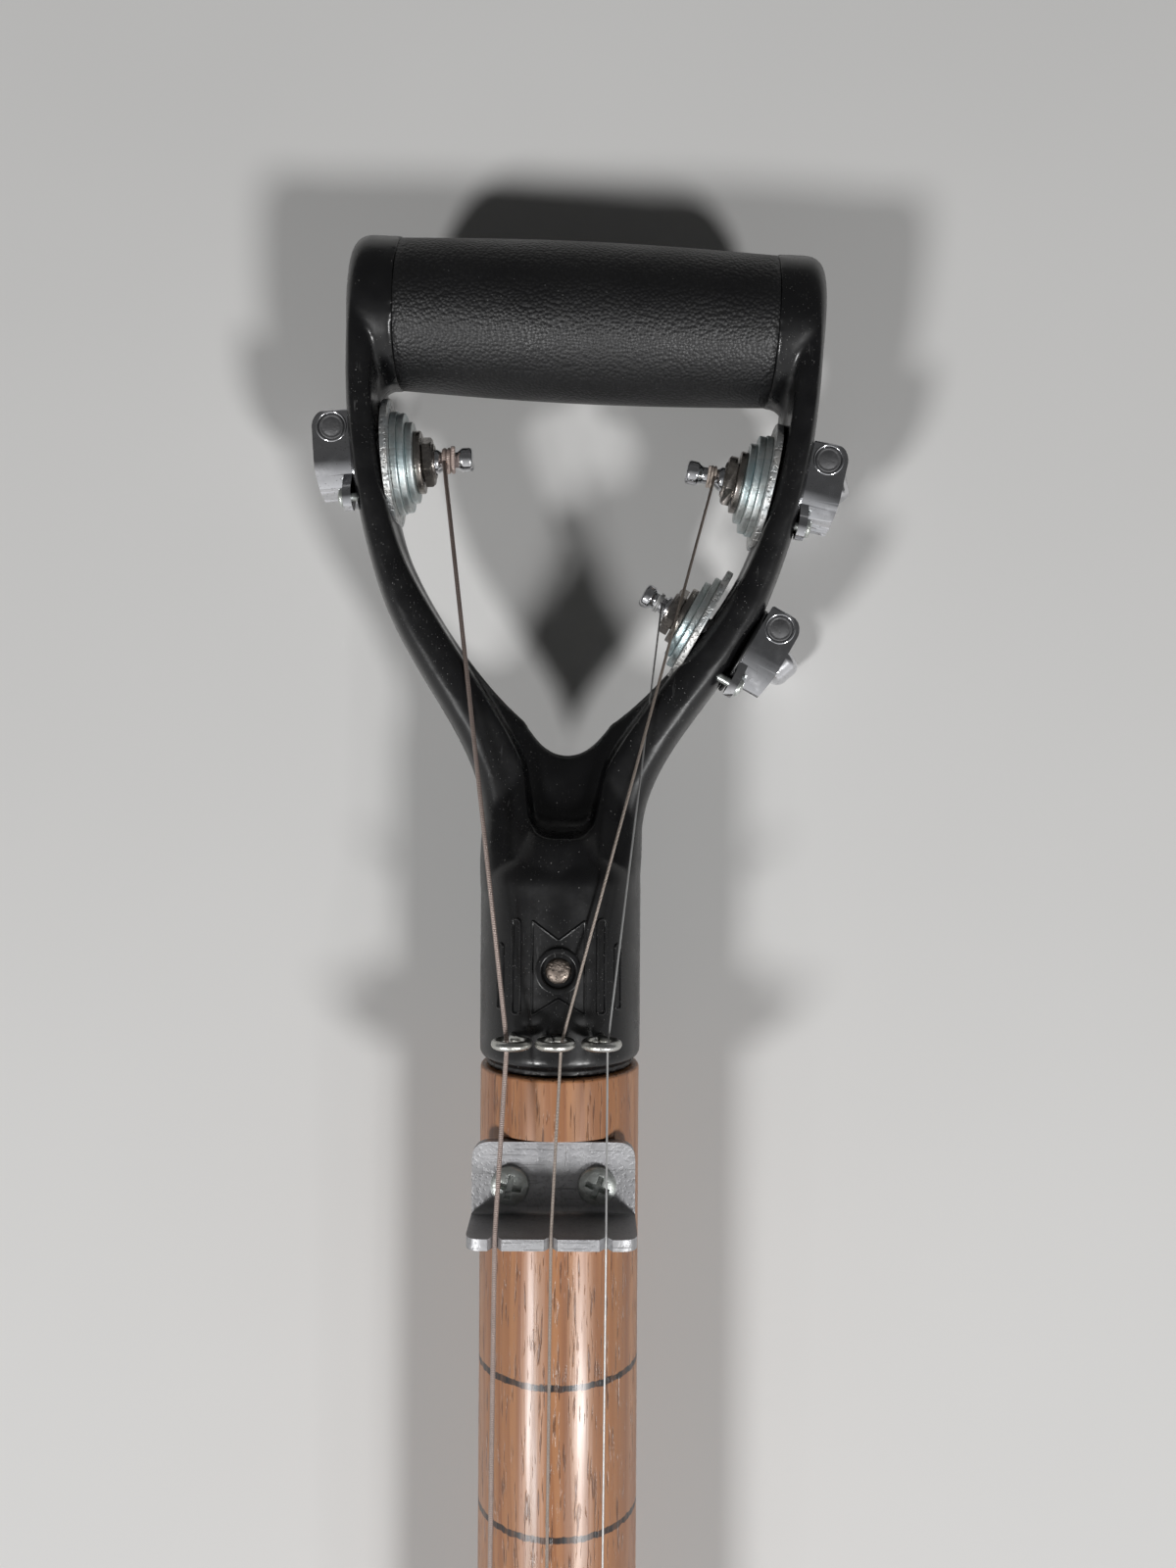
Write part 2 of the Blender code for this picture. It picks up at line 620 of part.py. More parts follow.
def make_nut(neck, shaft, aluminium, steel):
    """Make the nut: an aluminium angle let into the shaft and held by two screws."""
    seat_z = NUT_FLOOR_Z + CLEAR
    mesh = angle_mesh(NUT_LEN, NUT_LEG, NUT_LEG, 1)
    nut = part("nut_angle", mesh, aluminium, neck, (NUT_OFFSET, 0, seat_z), STAND_ACROSS)
    slot_strings(nut, neck, NUT_X, 0.0, NUT_STRING_Z)
    head_z = seat_z + ANGLE_WALL + CLEAR
    profile = screw_profile(SCREW_R, NUT_SCREW_LEN, SCREW_HEAD_R, SCREW_HEAD_H)
    for side, name in ((-1, "nut_screw_left"), (1, "nut_screw_right")):
        spot = (NUT_OFFSET + 0.5 * side * NUT_SCREW_SPACING, NUT_SCREW_IN, head_z)
        part(name, turned(profile, SMALL_SIDES), steel, neck, spot)
        way = cylinder(SCREW_R + CLEAR, -NUT_SCREW_LEN - CLEAR, 1.0 * MM, SMALL_SIDES)
        hole = tool(name + "_hole", way, neck, spot)
        boolean(nut, hole, "DIFFERENCE")
        boolean(shaft, hole, "DIFFERENCE")


def make_eyes(neck, shaft, grip, zinc):
    """Make the three screw eyes that hold the strings down behind the nut."""
    foot_z = EYE_RING_Z - EYE_RING_R
    for index, name in enumerate(("left", "middle", "right")):
        spot = (EYE_X[index], SOCKET_START + EYE_RISE)
        loop = [(spot[0] + EYE_RING_R * math.cos(a), spot[1], EYE_RING_Z + EYE_RING_R * math.sin(a))
                for a in np.linspace(-0.5 * math.pi, 1.24 * math.pi, 12)]
        points = [(*spot, EYE_SHANK_END), (*spot, foot_z - 1.6 * MM)] + loop
        wire("screw_eye_" + name, points, EYE_WIRE_R, zinc, neck)
        way = cylinder(EYE_WIRE_R + CLEAR, EYE_SHANK_END - CLEAR, foot_z, SMALL_SIDES)
        hole = tool("eye_hole", way, neck, (*spot, 0))
        boolean(grip, hole, "DIFFERENCE")
        boolean(shaft, hole, "DIFFERENCE")


def blade_row(y):
    """Return curvature, half width along the arc, and crown height of the sheet at y."""
    below = BLADE_MOUTH - BLADE_SOCKET_LEN - y
    opening = smooth_step(below, 0.0, BLADE_OPENING)
    drop = smooth_step(below, 0.0, BLADE_DROP)
    curvature = (1.0 - opening) / BLADE_SOCKET_R - opening / BLADE_DISH_R
    crown = BLADE_SOCKET_R * (1.0 - drop) + BLADE_FLOOR_Z * drop
    if y < BLADE_FLAT_END:
        crown += BLADE_LIFT * ((BLADE_FLAT_END - y) / (BLADE_FLAT_END - BLADE_TIP)) ** 2
    tube_half = BLADE_SOCKET_R * BLADE_SOCKET_WRAP
    neck_half = tube_half + (BLADE_THROAT_HALF - tube_half) * opening
    spread = smooth_step(-y, -BLADE_SHOULDER, SHOULDER_LEN - BLADE_SHOULDER)
    half = neck_half + (BLADE_HALF - neck_half) * spread ** 0.6
    if y < BLADE_POINT_START:
        q = (BLADE_POINT_START - y) / (BLADE_POINT_START - BLADE_TIP)
        half = BLADE_TIP_HALF + (BLADE_HALF - BLADE_TIP_HALF) * (1.0 - q ** 1.9) ** 0.72
    return curvature, half, crown


def blade_point(y, share, lift=0.0):
    """Return the point of the sheet at y, share -1 to 1 across, raised off the sheet by lift."""
    curvature, half, crown = blade_row(y)
    curvature = curvature if abs(curvature) > 1e-6 else 1e-6
    turn = curvature * half * share
    x = math.sin(turn) / curvature
    z = crown - (1.0 - math.cos(turn)) / curvature
    return (x + lift * math.sin(turn), y, z + lift * math.cos(turn))


def sheet_height(x, y):
    """Return the height of the middle of the blade's sheet at a place on its dish."""
    curvature, _half, crown = blade_row(y)
    turn = math.asin(min(max(curvature * x, -1.0), 1.0))
    return crown - (1.0 - math.cos(turn)) / curvature


def blade_mesh():
    """Return the open middle surface of the blade, from the socket's mouth to the point."""
    throat_top = BLADE_MOUTH - BLADE_SOCKET_LEN
    shoulder_end = BLADE_SHOULDER - SHOULDER_LEN
    runs = ((BLADE_MOUTH, throat_top, 2), (throat_top, BLADE_SHOULDER, 4), (BLADE_SHOULDER, shoulder_end, 4),
            (shoulder_end, BLADE_POINT_START, 2))
    ys = [y for start, end, count in runs for y in np.linspace(start, end, count + 1)[:-1]]
    point = BLADE_POINT_START - BLADE_TIP
    ys += [BLADE_POINT_START - point * math.sin(a) for a in np.linspace(0.0, 0.5 * math.pi, 7)]
    columns = 18
    shares = np.linspace(-1.0, 1.0, columns + 1)
    verts = [blade_point(y, share) for y in ys for share in shares]
    width = columns + 1
    faces = [(r * width + c, r * width + c + 1, (r + 1) * width + c + 1, (r + 1) * width + c)
             for r in range(len(ys) - 1) for c in range(columns)]
    return mesh_from(verts, faces)


def tread_mesh(side):
    """Return one turned foot tread that stands on the blade's shoulder."""
    y = BLADE_SHOULDER - SHOULDER_LEN
    _curvature, half, _crown = blade_row(y)
    sections = []
    for reach in np.linspace(TREAD_IN, TREAD_OUT, 5):
        share = side * reach / half
        taper = 0.55 + 0.45 * math.sin(math.pi * (reach - TREAD_IN) / (TREAD_OUT - TREAD_IN))
        foot = Vector(blade_point(y, share, -0.25 * SHEET))
        top = Vector(blade_point(y, share, TREAD_H * taper))
        thick = Vector((0, SHEET, 0))
        lean = Vector((0, 0.35 * TREAD_H * taper, 0))
        sections.append([foot, foot + thick, top + thick + lean, top + lean])
    return loft(sections)


def make_blade(neck, steel_paint, steel):
    """Make the pressed blade with its rolled socket, and the rivet that holds the shaft."""
    blade = part("blade", blade_mesh(), steel_paint, neck)
    shell = blade.modifiers.new("sheet", "SOLIDIFY")
    shell.thickness = SHEET
    shell.offset = 0.0
    for side in (-1, 1):
        boolean(blade, tool("tread", tread_mesh(side), neck), "UNION")
    spot = (0, BLADE_MOUTH - BLADE_RIVET_IN, 0)
    outside = BLADE_SOCKET_R + 0.5 * SHEET
    hole = cylinder(BLADE_RIVET_R + CLEAR, -outside - 2.0 * MM, outside + 2.0 * MM)
    boolean(blade, tool("rivet_way", hole, neck, spot, ALONG_X), "DIFFERENCE")
    profile = rivet_profile(BLADE_RIVET_R, outside + CLEAR, BLADE_RIVET_HEAD_R, BLADE_RIVET_HEAD_H)
    part("blade_rivet", turned(profile, SMALL_SIDES), steel, neck, spot, ALONG_X)
    return blade


def make_bridge(neck, blade, aluminium, steel):
    """Make the bridge: a tall angle screwed to the blade's dish, slotted for the strings."""
    middle = BRIDGE_X[1]
    far = max(abs(middle - 0.5 * BRIDGE_LEN), abs(middle + 0.5 * BRIDGE_LEN))
    foot_z = max(sheet_height(far, -SCALE), sheet_height(far, -SCALE - BRIDGE_FOOT)) + 0.5 * SHEET + CLEAR
    upright = BRIDGE_STRING_Z + BRIDGE_RISE - foot_z
    mesh = angle_mesh(BRIDGE_LEN, BRIDGE_FOOT, upright, -1)
    bridge = part("bridge_angle", mesh, aluminium, neck, (middle, -SCALE, foot_z), STAND_ACROSS)
    slot_strings(bridge, neck, BRIDGE_X, -SCALE, BRIDGE_STRING_Z)
    y = -SCALE - 0.6 * BRIDGE_FOOT
    for side, name in ((-1, "bridge_screw_left"), (1, "bridge_screw_right")):
        x = middle + 0.5 * side * BRIDGE_SCREW_SPACING
        head_z = foot_z + ANGLE_WALL + CLEAR
        length = head_z - sheet_height(x, y) + 0.4 * SHEET
        profile = screw_profile(SCREW_R, length, SCREW_HEAD_R, SCREW_HEAD_H)
        part(name, turned(profile, SMALL_SIDES), steel, neck, (x, y, head_z))
        way = cylinder(SCREW_R + CLEAR, -length - 3.0 * MM, 1.0 * MM, SMALL_SIDES)
        hole = tool(name + "_hole", way, neck, (x, y, head_z))
        boolean(bridge, hole, "DIFFERENCE")
        boolean(blade, hole, "DIFFERENCE")
    for x in BRIDGE_X:
        y = -SCALE - ANCHOR_BACK
        hole = cylinder(ANCHOR_HOLE_R, -5.0 * MM, 5.0 * MM, SMALL_SIDES)
        boolean(blade, tool("string_hole", hole, neck, (x, y, sheet_height(x, y))), "DIFFERENCE")


@dataclass(frozen=True)
class Seat:
    """Where a tuner sits: its frame in the grip, and heights measured along the post."""

    origin: tuple
    angle: float
    base: float
    washers: float

    def matrix(self):
        """Return the tuner frame in the neck frame."""
        grip = Matrix.Translation(GRIP_FOOT) @ Matrix.Rotation(GRIP_CANT, 4, "Z")
        return grip @ Matrix.Translation(self.origin) @ Matrix.Rotation(self.angle, 4, "Z")


def packing(tuner):
    """Return how far a housing's base stands off the flat let into its arm."""
    return CLEAR + (SHIM_H + CLEAR if tuner.shimmed else 0.0)


def tuner_seat(tuner):
    """Return the seat of a tuner on its arm.

    The frame's X points out of the arm, its Z is the string side, and its origin lies on the
    post axis in the housing's base plane. The base stands on a flat let into the arm's outer
    edge, or on a shim there, leaning from the arm's run the way its string pulls it. The first
    washer stands on the arm's inner edge round the post, in a spot face.
    """
    steps = 60
    mirror = np.array((tuner.side, 1.0))
    inner, outer = (edge * mirror for edge in grip_contours((steps, steps, steps)))
    at = steps + int(np.argmin(np.abs(outer[steps:, 1] - tuner.height)))
    spot = outer[at]
    run = outer[at + 1] - outer[at - 1]
    turn = math.atan2(run[1], run[0]) + tuner.side * tuner.lean
    run = np.array((math.cos(turn), math.sin(turn)))
    outward = np.array((run[1], -run[0])) * tuner.side

    def stand_off(edge, reach, direction):
        """Return how far an edge stands out along a direction within reach of the post."""
        near = np.abs((edge - spot) @ run) <= reach
        return float(np.max(((edge - spot) @ direction)[near]))

    base = stand_off(outer, HOUSING_TOP, outward) - HOUSING_SINK + packing(tuner)
    origin = spot + outward * base
    washers = base + stand_off(inner, HOLE_R, -outward) + CLEAR
    return Seat((*origin, 0.0), math.atan2(outward[1], outward[0]), base, washers)


def gear_mesh(facing):
    """Return the worm wheel: trapezoid teeth twisted to the worm's lead, a gap at facing."""
    lead_slope = WORM_LEAD / (2.0 * math.pi * WORM_PITCH_R)
    corners = ((WHEEL_ROOT_R, -1), (WHEEL_TIP_R, -1), (WHEEL_TIP_R, 1), (WHEEL_ROOT_R, 1))
    sections = []
    for height in (-WHEEL_HALF, WHEEL_HALF):
        twist = lead_slope * height / WHEEL_PITCH_R
        outline = []
        for tooth in range(TEETH):
            centre = facing + twist + 2.0 * math.pi * (tooth + 0.5) / TEETH
            for radius, hand in corners:
                half = TOOTH_HALF - FLANK_SLOPE * (radius - WHEEL_PITCH_R)
                angle = centre + hand * half / radius
                outline.append((radius * math.cos(angle), radius * math.sin(angle), height))
        sections.append(outline)
    return loft(sections)


def thread_mesh(facing):
    """Return the worm's thread: a trapezoid ridge swept along its helix, on centre at facing."""
    span = WORM_TURNS * WORM_LEAD
    root = WORM_ROOT_R - 0.25 * MM
    sections = []
    for height in np.linspace(-0.5 * span, 0.5 * span, int(12 * WORM_TURNS) + 1):
        angle = facing + 2.0 * math.pi * height / WORM_LEAD
        fade = min(1.0, 0.3 + (0.5 * span - abs(height)) / (0.3 * WORM_LEAD))
        tip = WORM_ROOT_R + (WORM_TIP_R - WORM_ROOT_R) * fade
        ridge = []
        for radius, hand in ((root, -1), (tip, -1), (tip, 1), (root, 1)):
            half = TOOTH_HALF - FLANK_SLOPE * (radius - WORM_PITCH_R)
            ridge.append((radius * math.cos(angle), radius * math.sin(angle), height + hand * half))
        sections.append(ridge)
    return loft(sections)


def housing_plan(up):
    """Return the housing's outline seen along the post: a square worm end and a round gear end."""
    half = HOUSING_HALF
    corner = 1.2 * MM
    round_end = [(x, up * y) for x, y in arc((0.0, HOUSING_ROUND_U), half, math.pi, 2.0 * math.pi, 9)]
    square_end = ((half, HOUSING_TOP - corner), (half - corner, HOUSING_TOP),
                  (corner - half, HOUSING_TOP), (-half, HOUSING_TOP - corner))
    return round_end + [(x, up * y) for x, y in square_end]


def housing_side(up):
    """Return the housing's outline seen from the strings: rounded over the worm, drawn in below."""
    low = HOUSING_ROUND_U - HOUSING_HALF - 1.0 * MM
    out = HOUSING_H
    draft = ((0.0, low), (out - 0.6 * MM, low), (out, low + 7.0 * MM))
    turn = (out - HOUSING_CORNER, HOUSING_TOP - HOUSING_CORNER)
    shoulder = arc(turn, HOUSING_CORNER, 0.0, 0.5 * math.pi, 4)
    rim = ((0.8 * MM, HOUSING_TOP), (0.0, HOUSING_TOP - 0.8 * MM))
    return [(x, up * y) for x, y in (*draft, *shoulder, *rim)]


def capsule(start, end, radius):
    """Return the outline of a slot shape between two points."""
    heading = math.atan2(end[1] - start[1], end[0] - start[0])
    return (arc(end, radius, heading - 0.5 * math.pi, heading + 0.5 * math.pi, 5)
            + arc(start, radius, heading + 0.5 * math.pi, heading + 1.5 * math.pi, 5))


def make_housing(name, frame, up, chrome):
    """Make the die-cast gear housing with its screw ear, its cavities and its bores."""
    over = 1.0 * MM
    housing = part("housing_" + name, plate(housing_side(up), -HOUSING_HALF - over, HOUSING_HALF + over),
                   chrome, frame)
    plan = plate(housing_plan(up), -HOUSING_H - over, over)
    boolean(housing, tool("housing_plan", plan, frame, rotation=INTO_ARM), "INTERSECT")
    root = (0.35 * EAR_Z, 0.35 * up * EAR_U)
    ear = plate(capsule(root, (EAR_Z, up * EAR_U), EAR_R), -EAR_THICK, -0.02 * MM)
    boolean(housing, tool("housing_ear", ear, frame, rotation=INTO_ARM), "UNION")
    room = WHEEL_TIP_R + CLEAR
    floor = -WHEEL_OUT - WHEEL_HALF - 0.8 * MM
    roof = -WHEEL_OUT + WHEEL_HALF + 0.8 * MM
    cavity = [(0.0, floor), (room, floor), (room, roof), (HOLE_R, roof), (HOLE_R, over), (0.0, over)]
    boolean(housing, tool("wheel_cavity", turned(cavity, 20), frame, rotation=INTO_ARM), "DIFFERENCE")
    pivot = cylinder(PIVOT_R + CLEAR, -HOUSING_H + 0.9 * MM, -WHEEL_OUT, SMALL_SIDES)
    boolean(housing, tool("pivot_bore", pivot, frame, rotation=INTO_ARM), "DIFFERENCE")
    wide = PLUG_R + CLEAR
    narrow = WORM_SHAFT_R + CLEAR
    step = -0.5 * WORM_TURNS * WORM_LEAD - 1.0 * MM
    end = HOUSING_HALF + 2.0 * over
    bore = [(0.0, -end), (narrow, -end), (narrow, step), (wide, step), (wide, end), (0.0, end)]
    boolean(housing, tool("worm_bore", turned(bore), frame, (WHEEL_OUT, up * CENTRE_DISTANCE, 0)),
            "DIFFERENCE")
    return housing


def make_mount_screw(name, frame, up, base, grip, housing, steel):
    """Make the small screw that keeps the housing from turning on the arm."""
    seat = EAR_THICK + CLEAR
    length = seat + base + MOUNT_SCREW_BITE
    spot = (seat, up * EAR_U, EAR_Z)
    profile = screw_profile(MOUNT_SCREW_R, length, MOUNT_HEAD_R, MOUNT_HEAD_H)
    part("mount_screw_" + name, turned(profile, SMALL_SIDES), steel, frame, spot, ALONG_X)
    way = cylinder(MOUNT_SCREW_R + CLEAR, -length - CLEAR, 0.2 * MM, SMALL_SIDES)
    hole = tool("mount_hole", way, frame, spot, ALONG_X)
    boolean(grip, hole, "DIFFERENCE")
    boolean(housing, hole, "DIFFERENCE")


def button_mesh():
    """Return the kidney button: a waisted outline with softened rims and a flat end land."""
    low, high = -BUTTON_END, -BUTTON_START
    reach = BUTTON_HALF_LONG
    length = high - low
    lobe = 0.36 * length
    waist = low + 0.55 * length
    belly = bezier(((BUTTON_LAND, low), (0.8 * reach, low + 0.02 * length),
                    (reach, low + 0.2 * length), (reach, waist)), 5)
    half = [tuple(p) for p in belly] + arc((reach - lobe, waist), lobe, 0.0, 0.62 * math.pi, 5)[1:]
    half += [(0.32 * reach, high - 0.06 * length), (0.24 * reach, high)]
    outline = half + [(-x, y) for x, y in reversed(half)]
    obj = bpy.data.objects.new("button", plate(outline, -BUTTON_HALF_THICK, BUTTON_HALF_THICK))
    rim = obj.modifiers.new("rim", "BEVEL")
    rim.width = 0.42 * BUTTON_HALF_THICK
    rim.segments = 1
    rim.limit_method = "ANGLE"
    rim.angle_limit = 60.0 * DEG
    return evaluated(obj)


def make_worm(tuner, frame, up, finishes):
    """Make the worm on its shaft, its end plug, the button and the screw that holds the button."""
    spot = (WHEEL_OUT, up * CENTRE_DISTANCE, 0)
    axis = empty("worm_axis_" + tuner.name, frame, spot)
    half = 0.5 * WORM_TURNS * WORM_LEAD
    plug_top = HOUSING_HALF - PLUG_RECESS
    plug_low = plug_top - PLUG_H
    pivot_top = plug_low + 0.5 * PLUG_H
    shaft_end = BUTTON_CAP + CLEAR - BUTTON_END
    tap_r = BUTTON_SCREW_R + CLEAR
    tap_top = shaft_end + BUTTON_SCREW_BITE + CLEAR
    profile = [(0.0, tap_top), (tap_r, tap_top), (tap_r, shaft_end), (WORM_SHAFT_R, shaft_end),
               (WORM_SHAFT_R, -half - 0.6 * MM), (WORM_ROOT_R, -half - 0.2 * MM), (WORM_ROOT_R, half),
               (PIVOT_R, half + 0.4 * MM), (PIVOT_R, pivot_top), (0.0, pivot_top)]
    worm = part("worm_shaft_" + tuner.name, turned(profile, SMALL_SIDES), finishes["chrome"], axis)
    boolean(worm, tool("worm_thread", thread_mesh(-0.5 * math.pi * up), axis), "UNION")
    pocket_r = PIVOT_R + CLEAR
    pocket_top = pivot_top + CLEAR
    plug = [(0.0, pocket_top), (pocket_r, pocket_top), (pocket_r, plug_low), (PLUG_R, plug_low),
            (PLUG_R, plug_top), (0.0, plug_top)]
    part("worm_plug_" + tuner.name, turned(plug), finishes["plug"], frame, spot)

    button = part("button_" + tuner.name, button_mesh(), finishes["button"], axis,
                  rotation=(0.5 * math.pi, 0, tuner.button_turn))
    head_r = BUTTON_SCREW_HEAD_R + CLEAR
    seat = BUTTON_SCREW_HEAD_H + 2.0 * CLEAR - BUTTON_END
    outside = 1.0 * MM
    bore = [(0.0, -BUTTON_END - outside), (head_r, -BUTTON_END - outside), (head_r, seat), (tap_r, seat),
            (tap_r, shaft_end - CLEAR), (WORM_SHAFT_R + CLEAR, shaft_end - CLEAR),
            (WORM_SHAFT_R + CLEAR, outside - BUTTON_START), (0.0, outside - BUTTON_START)]
    boolean(button, tool("button_bore", turned(bore, SMALL_SIDES), axis), "DIFFERENCE")
    head_z = seat - CLEAR
    screw = screw_profile(BUTTON_SCREW_R, tap_top - CLEAR - head_z, BUTTON_SCREW_HEAD_R, BUTTON_SCREW_HEAD_H)
    part("button_screw_" + tuner.name, turned(screw, SMALL_SIDES), finishes["steel"], axis, (0, 0, head_z),
         (math.pi, 0, 0))


def make_post(tuner, frame, up, seat, grip, finishes):
    """Make the string post with its worm wheel, the bushing and the washers under its hex head.

    Returns:
        The height of the bushing's outer face along the post.
    """
    pitch = WASHER_H + CLEAR
    for count, radius in enumerate(tuner.washers):
        low = seat.washers + count * pitch
        finish = finishes["nickel" if count + 1 == len(tuner.washers) else "zinc"]
        part(f"washer_{tuner.name}_{count + 1}", ring(HOLE_R, radius, low, low + WASHER_H), finish, frame,
             rotation=INTO_ARM)
    if tuner.shimmed:
        shim = ring(HOLE_R, SHIM_R, CLEAR, CLEAR + SHIM_H)
        part("shim_washer_" + tuner.name, shim, finishes["shim"], frame, rotation=INTO_ARM)
    arm_hole = cylinder(HOLE_R, 0.5 * CLEAR, seat.washers + CLEAR)
    boolean(grip, tool("post_hole", arm_hole, frame, rotation=INTO_ARM), "DIFFERENCE")
    face = cylinder(tuner.washers[0] + CLEAR, seat.washers - CLEAR, seat.washers + SPOT_FACE)
    boolean(grip, tool("spot_face", face, frame, rotation=INTO_ARM), "DIFFERENCE")
    flat = cylinder(HOUSING_FLAT_R, -SPOT_FACE, packing(tuner))
    boolean(grip, tool("housing_flat", flat, frame, rotation=INTO_ARM), "DIFFERENCE")

    hex_low = seat.washers + len(tuner.washers) * pitch
    hex_top = hex_low + HEX_H
    hex_r = (HOLE_R + HEX_LIP) / math.cos(math.pi / 6.0)
    bushing = part("bushing_" + tuner.name, cylinder(hex_r, hex_low, hex_top, 6), finishes["nickel"], frame,
                   rotation=INTO_ARM)
    tube = cylinder(POST_R + CLEAR + BUSHING_WALL, -BUSHING_BITE, hex_low + 0.5 * HEX_H)
    boolean(bushing, tool("bushing_tube", tube, frame, rotation=INTO_ARM), "UNION")
    bore = cylinder(POST_R + CLEAR, -BUSHING_BITE - 1.0 * MM, hex_top + 1.0 * MM)
    boolean(bushing, tool("bushing_bore", bore, frame, rotation=INTO_ARM), "DIFFERENCE")

    foot = -HOUSING_H + 0.9 * MM + CLEAR
    hub = -WHEEL_OUT - WHEEL_HALF - 0.4 * MM
    flare = 0.8 * MM
    top = hex_top + tuner.post_out
    waist = hex_top + WAIST_START
    waist_end = top - POST_HEAD
    profile = [(0.0, foot), (PIVOT_R, foot), (PIVOT_R, hub), (POST_R, hub), (POST_R, waist - flare),
               (POST_WAIST_R, waist), (POST_WAIST_R, waist_end), (POST_R, waist_end + flare),
               (POST_R, top - 1.0 * MM), (0.75 * POST_R, top - 0.3 * MM), (0.0, top)]
    post = part("string_post_" + tuner.name, turned(profile), finishes["chrome"], frame, rotation=INTO_ARM)
    wheel = tool("worm_wheel", gear_mesh(0.5 * math.pi * up), frame, (WHEEL_OUT, 0, 0), INTO_ARM)
    boolean(post, wheel, "UNION")
    return hex_top


def winding_route(tuner, seat, hex_top, eye):
    """Return a string's turns on its post, and where its straight run to the eye begins.

    The turns lie in the tuner frame on a helix about the post. They start where the string
    leaves the post's string side on a tangent, and climb towards the post's tip.
    """
    wire_dia = STRING_DIA[tuner.string]
    radius = POST_WAIST_R + CLEAR + 0.5 * wire_dia
    target = seat.matrix().inverted() @ Vector(eye)
    away = math.hypot(target.y, target.z)
    bearing = math.atan2(target.z, target.y)
    swing = math.acos(radius / away)
    start = max((bearing + swing, bearing - swing), key=math.sin)
    low = hex_top + WIND_START
    pitch = wire_dia + WIND_GAP
    leave = Vector((-low, radius * math.cos(start), radius * math.sin(start)))
    heading = (target - leave).normalized()
    hand = 1.0 if math.sin(start) * heading.y - math.cos(start) * heading.z > 0.0 else -1.0
    turns = np.linspace(0.0, tuner.turns, 20 * tuner.turns + 1)
    helix = [Vector((-low - pitch * t, radius * math.cos(start + hand * 2.0 * math.pi * t),
                     radius * math.sin(start + hand * 2.0 * math.pi * t))) for t in turns]
    tail = helix[-1] + (helix[-1] - helix[-2]).normalized() * 2.0 * wire_dia
    return [leave + heading * wire_dia] + helix + [tail], leave + heading * (wire_dia + CLEAR)


def least_gap(points, diameter):
    """Return the least clear gap between turns of a wound wire, measured between its points."""
    route = np.array([tuple(p) for p in points])
    near = np.linalg.norm(route[:, None, :] - route[None, :, :], axis=2)
    apart = np.abs(np.subtract.outer(np.arange(len(route)), np.arange(len(route)))) > 12
    return float(near[apart].min()) - diameter


def make_string(tuner, frame, neck, seat, hex_top, finishes):
    """Make one string: its turns on the post, and its run over eye, nut and bridge to the blade."""
    index = tuner.string
    dia = STRING_DIA[index]
    finish = finishes["wound" if index < 2 else "steel"]
    eye = (EYE_X[index] + EYE_STRING_SHIFT[index], SOCKET_START + EYE_RISE, EYE_RING_Z + EYE_STRING_LIFT)
    turns, begin = winding_route(tuner, seat, hex_top, eye)
    wire("winding_" + tuner.name, turns, 0.5 * dia, finish, frame)
    print(f"winding_{tuner.name}: least gap between turns {least_gap(turns, dia) / MM:.2f} mm")
    x = BRIDGE_X[index]
    anchor_y = -SCALE - ANCHOR_BACK
    sheet = sheet_height(x, anchor_y)
    under = min(sheet_height(x + i * BALL_R, anchor_y + j * BALL_R) for i in (-1, 1) for j in (-1, 1))
    ball_top = under - 0.5 * SHEET - CLEAR
    behind = ANGLE_WALL + CLEAR
    route = [seat.matrix() @ begin, eye, (NUT_X[index], behind, NUT_STRING_Z),
             (x, -SCALE - behind, BRIDGE_STRING_Z), (x, anchor_y + 0.4 * SHEET, sheet + SHEET),
             (x, anchor_y, sheet), (x, anchor_y, ball_top), (x, anchor_y, ball_top - 0.01 * MM),
             (x, anchor_y, ball_top - BALL_LEN)]
    swell = 2.0 * BALL_R / dia
    scales = [1.0] * (len(route) - 2) + [swell] * 2
    wire("string_" + tuner.name, route, 0.5 * dia, finish, neck, scales=scales)


def make_tuner(tuner, frame, neck, grip, finishes):
    """Make one tuning machine with the string it carries."""
    seat = tuner_seat(tuner)
    up = tuner.side
    seat_frame = empty("tuner_" + tuner.name, frame, seat.origin, (0, 0, seat.angle))
    housing = make_housing(tuner.name, seat_frame, up, finishes["chrome"])
    make_mount_screw(tuner.name, seat_frame, up, seat.base, grip, housing, finishes["steel"])
    make_worm(tuner, seat_frame, up, finishes)
    hex_top = make_post(tuner, seat_frame, up, seat, grip, finishes)
    make_string(tuner, seat_frame, neck, seat, hex_top, finishes)


def make_finishes():
    """Return the materials of the instrument by name."""
    table = {"wood": ((0.42, 0.22, 0.095), 0.42, 0.0), "black": ((0.012, 0.012, 0.013), 0.32, 0.0),
             "rubber": ((0.018, 0.018, 0.02), 0.62, 0.0), "blade": ((0.05, 0.05, 0.055), 0.45, 0.6),
             "aluminium": ((0.72, 0.72, 0.74), 0.38, 1.0), "zinc": ((0.58, 0.62, 0.62), 0.32, 1.0),
             "nickel": ((0.38, 0.36, 0.34), 0.25, 1.0), "chrome": ((0.75, 0.75, 0.77), 0.08, 1.0),
             "plug": ((0.06, 0.06, 0.065), 0.5, 0.0), "button": ((0.55, 0.55, 0.57), 0.1, 1.0),
             "steel": ((0.6, 0.6, 0.6), 0.25, 1.0), "shim": ((0.015, 0.015, 0.016), 0.4, 0.0),
             "wound": ((0.5, 0.36, 0.26), 0.3, 1.0)}
    return {name: material(name, *values) for name, values in table.items()}


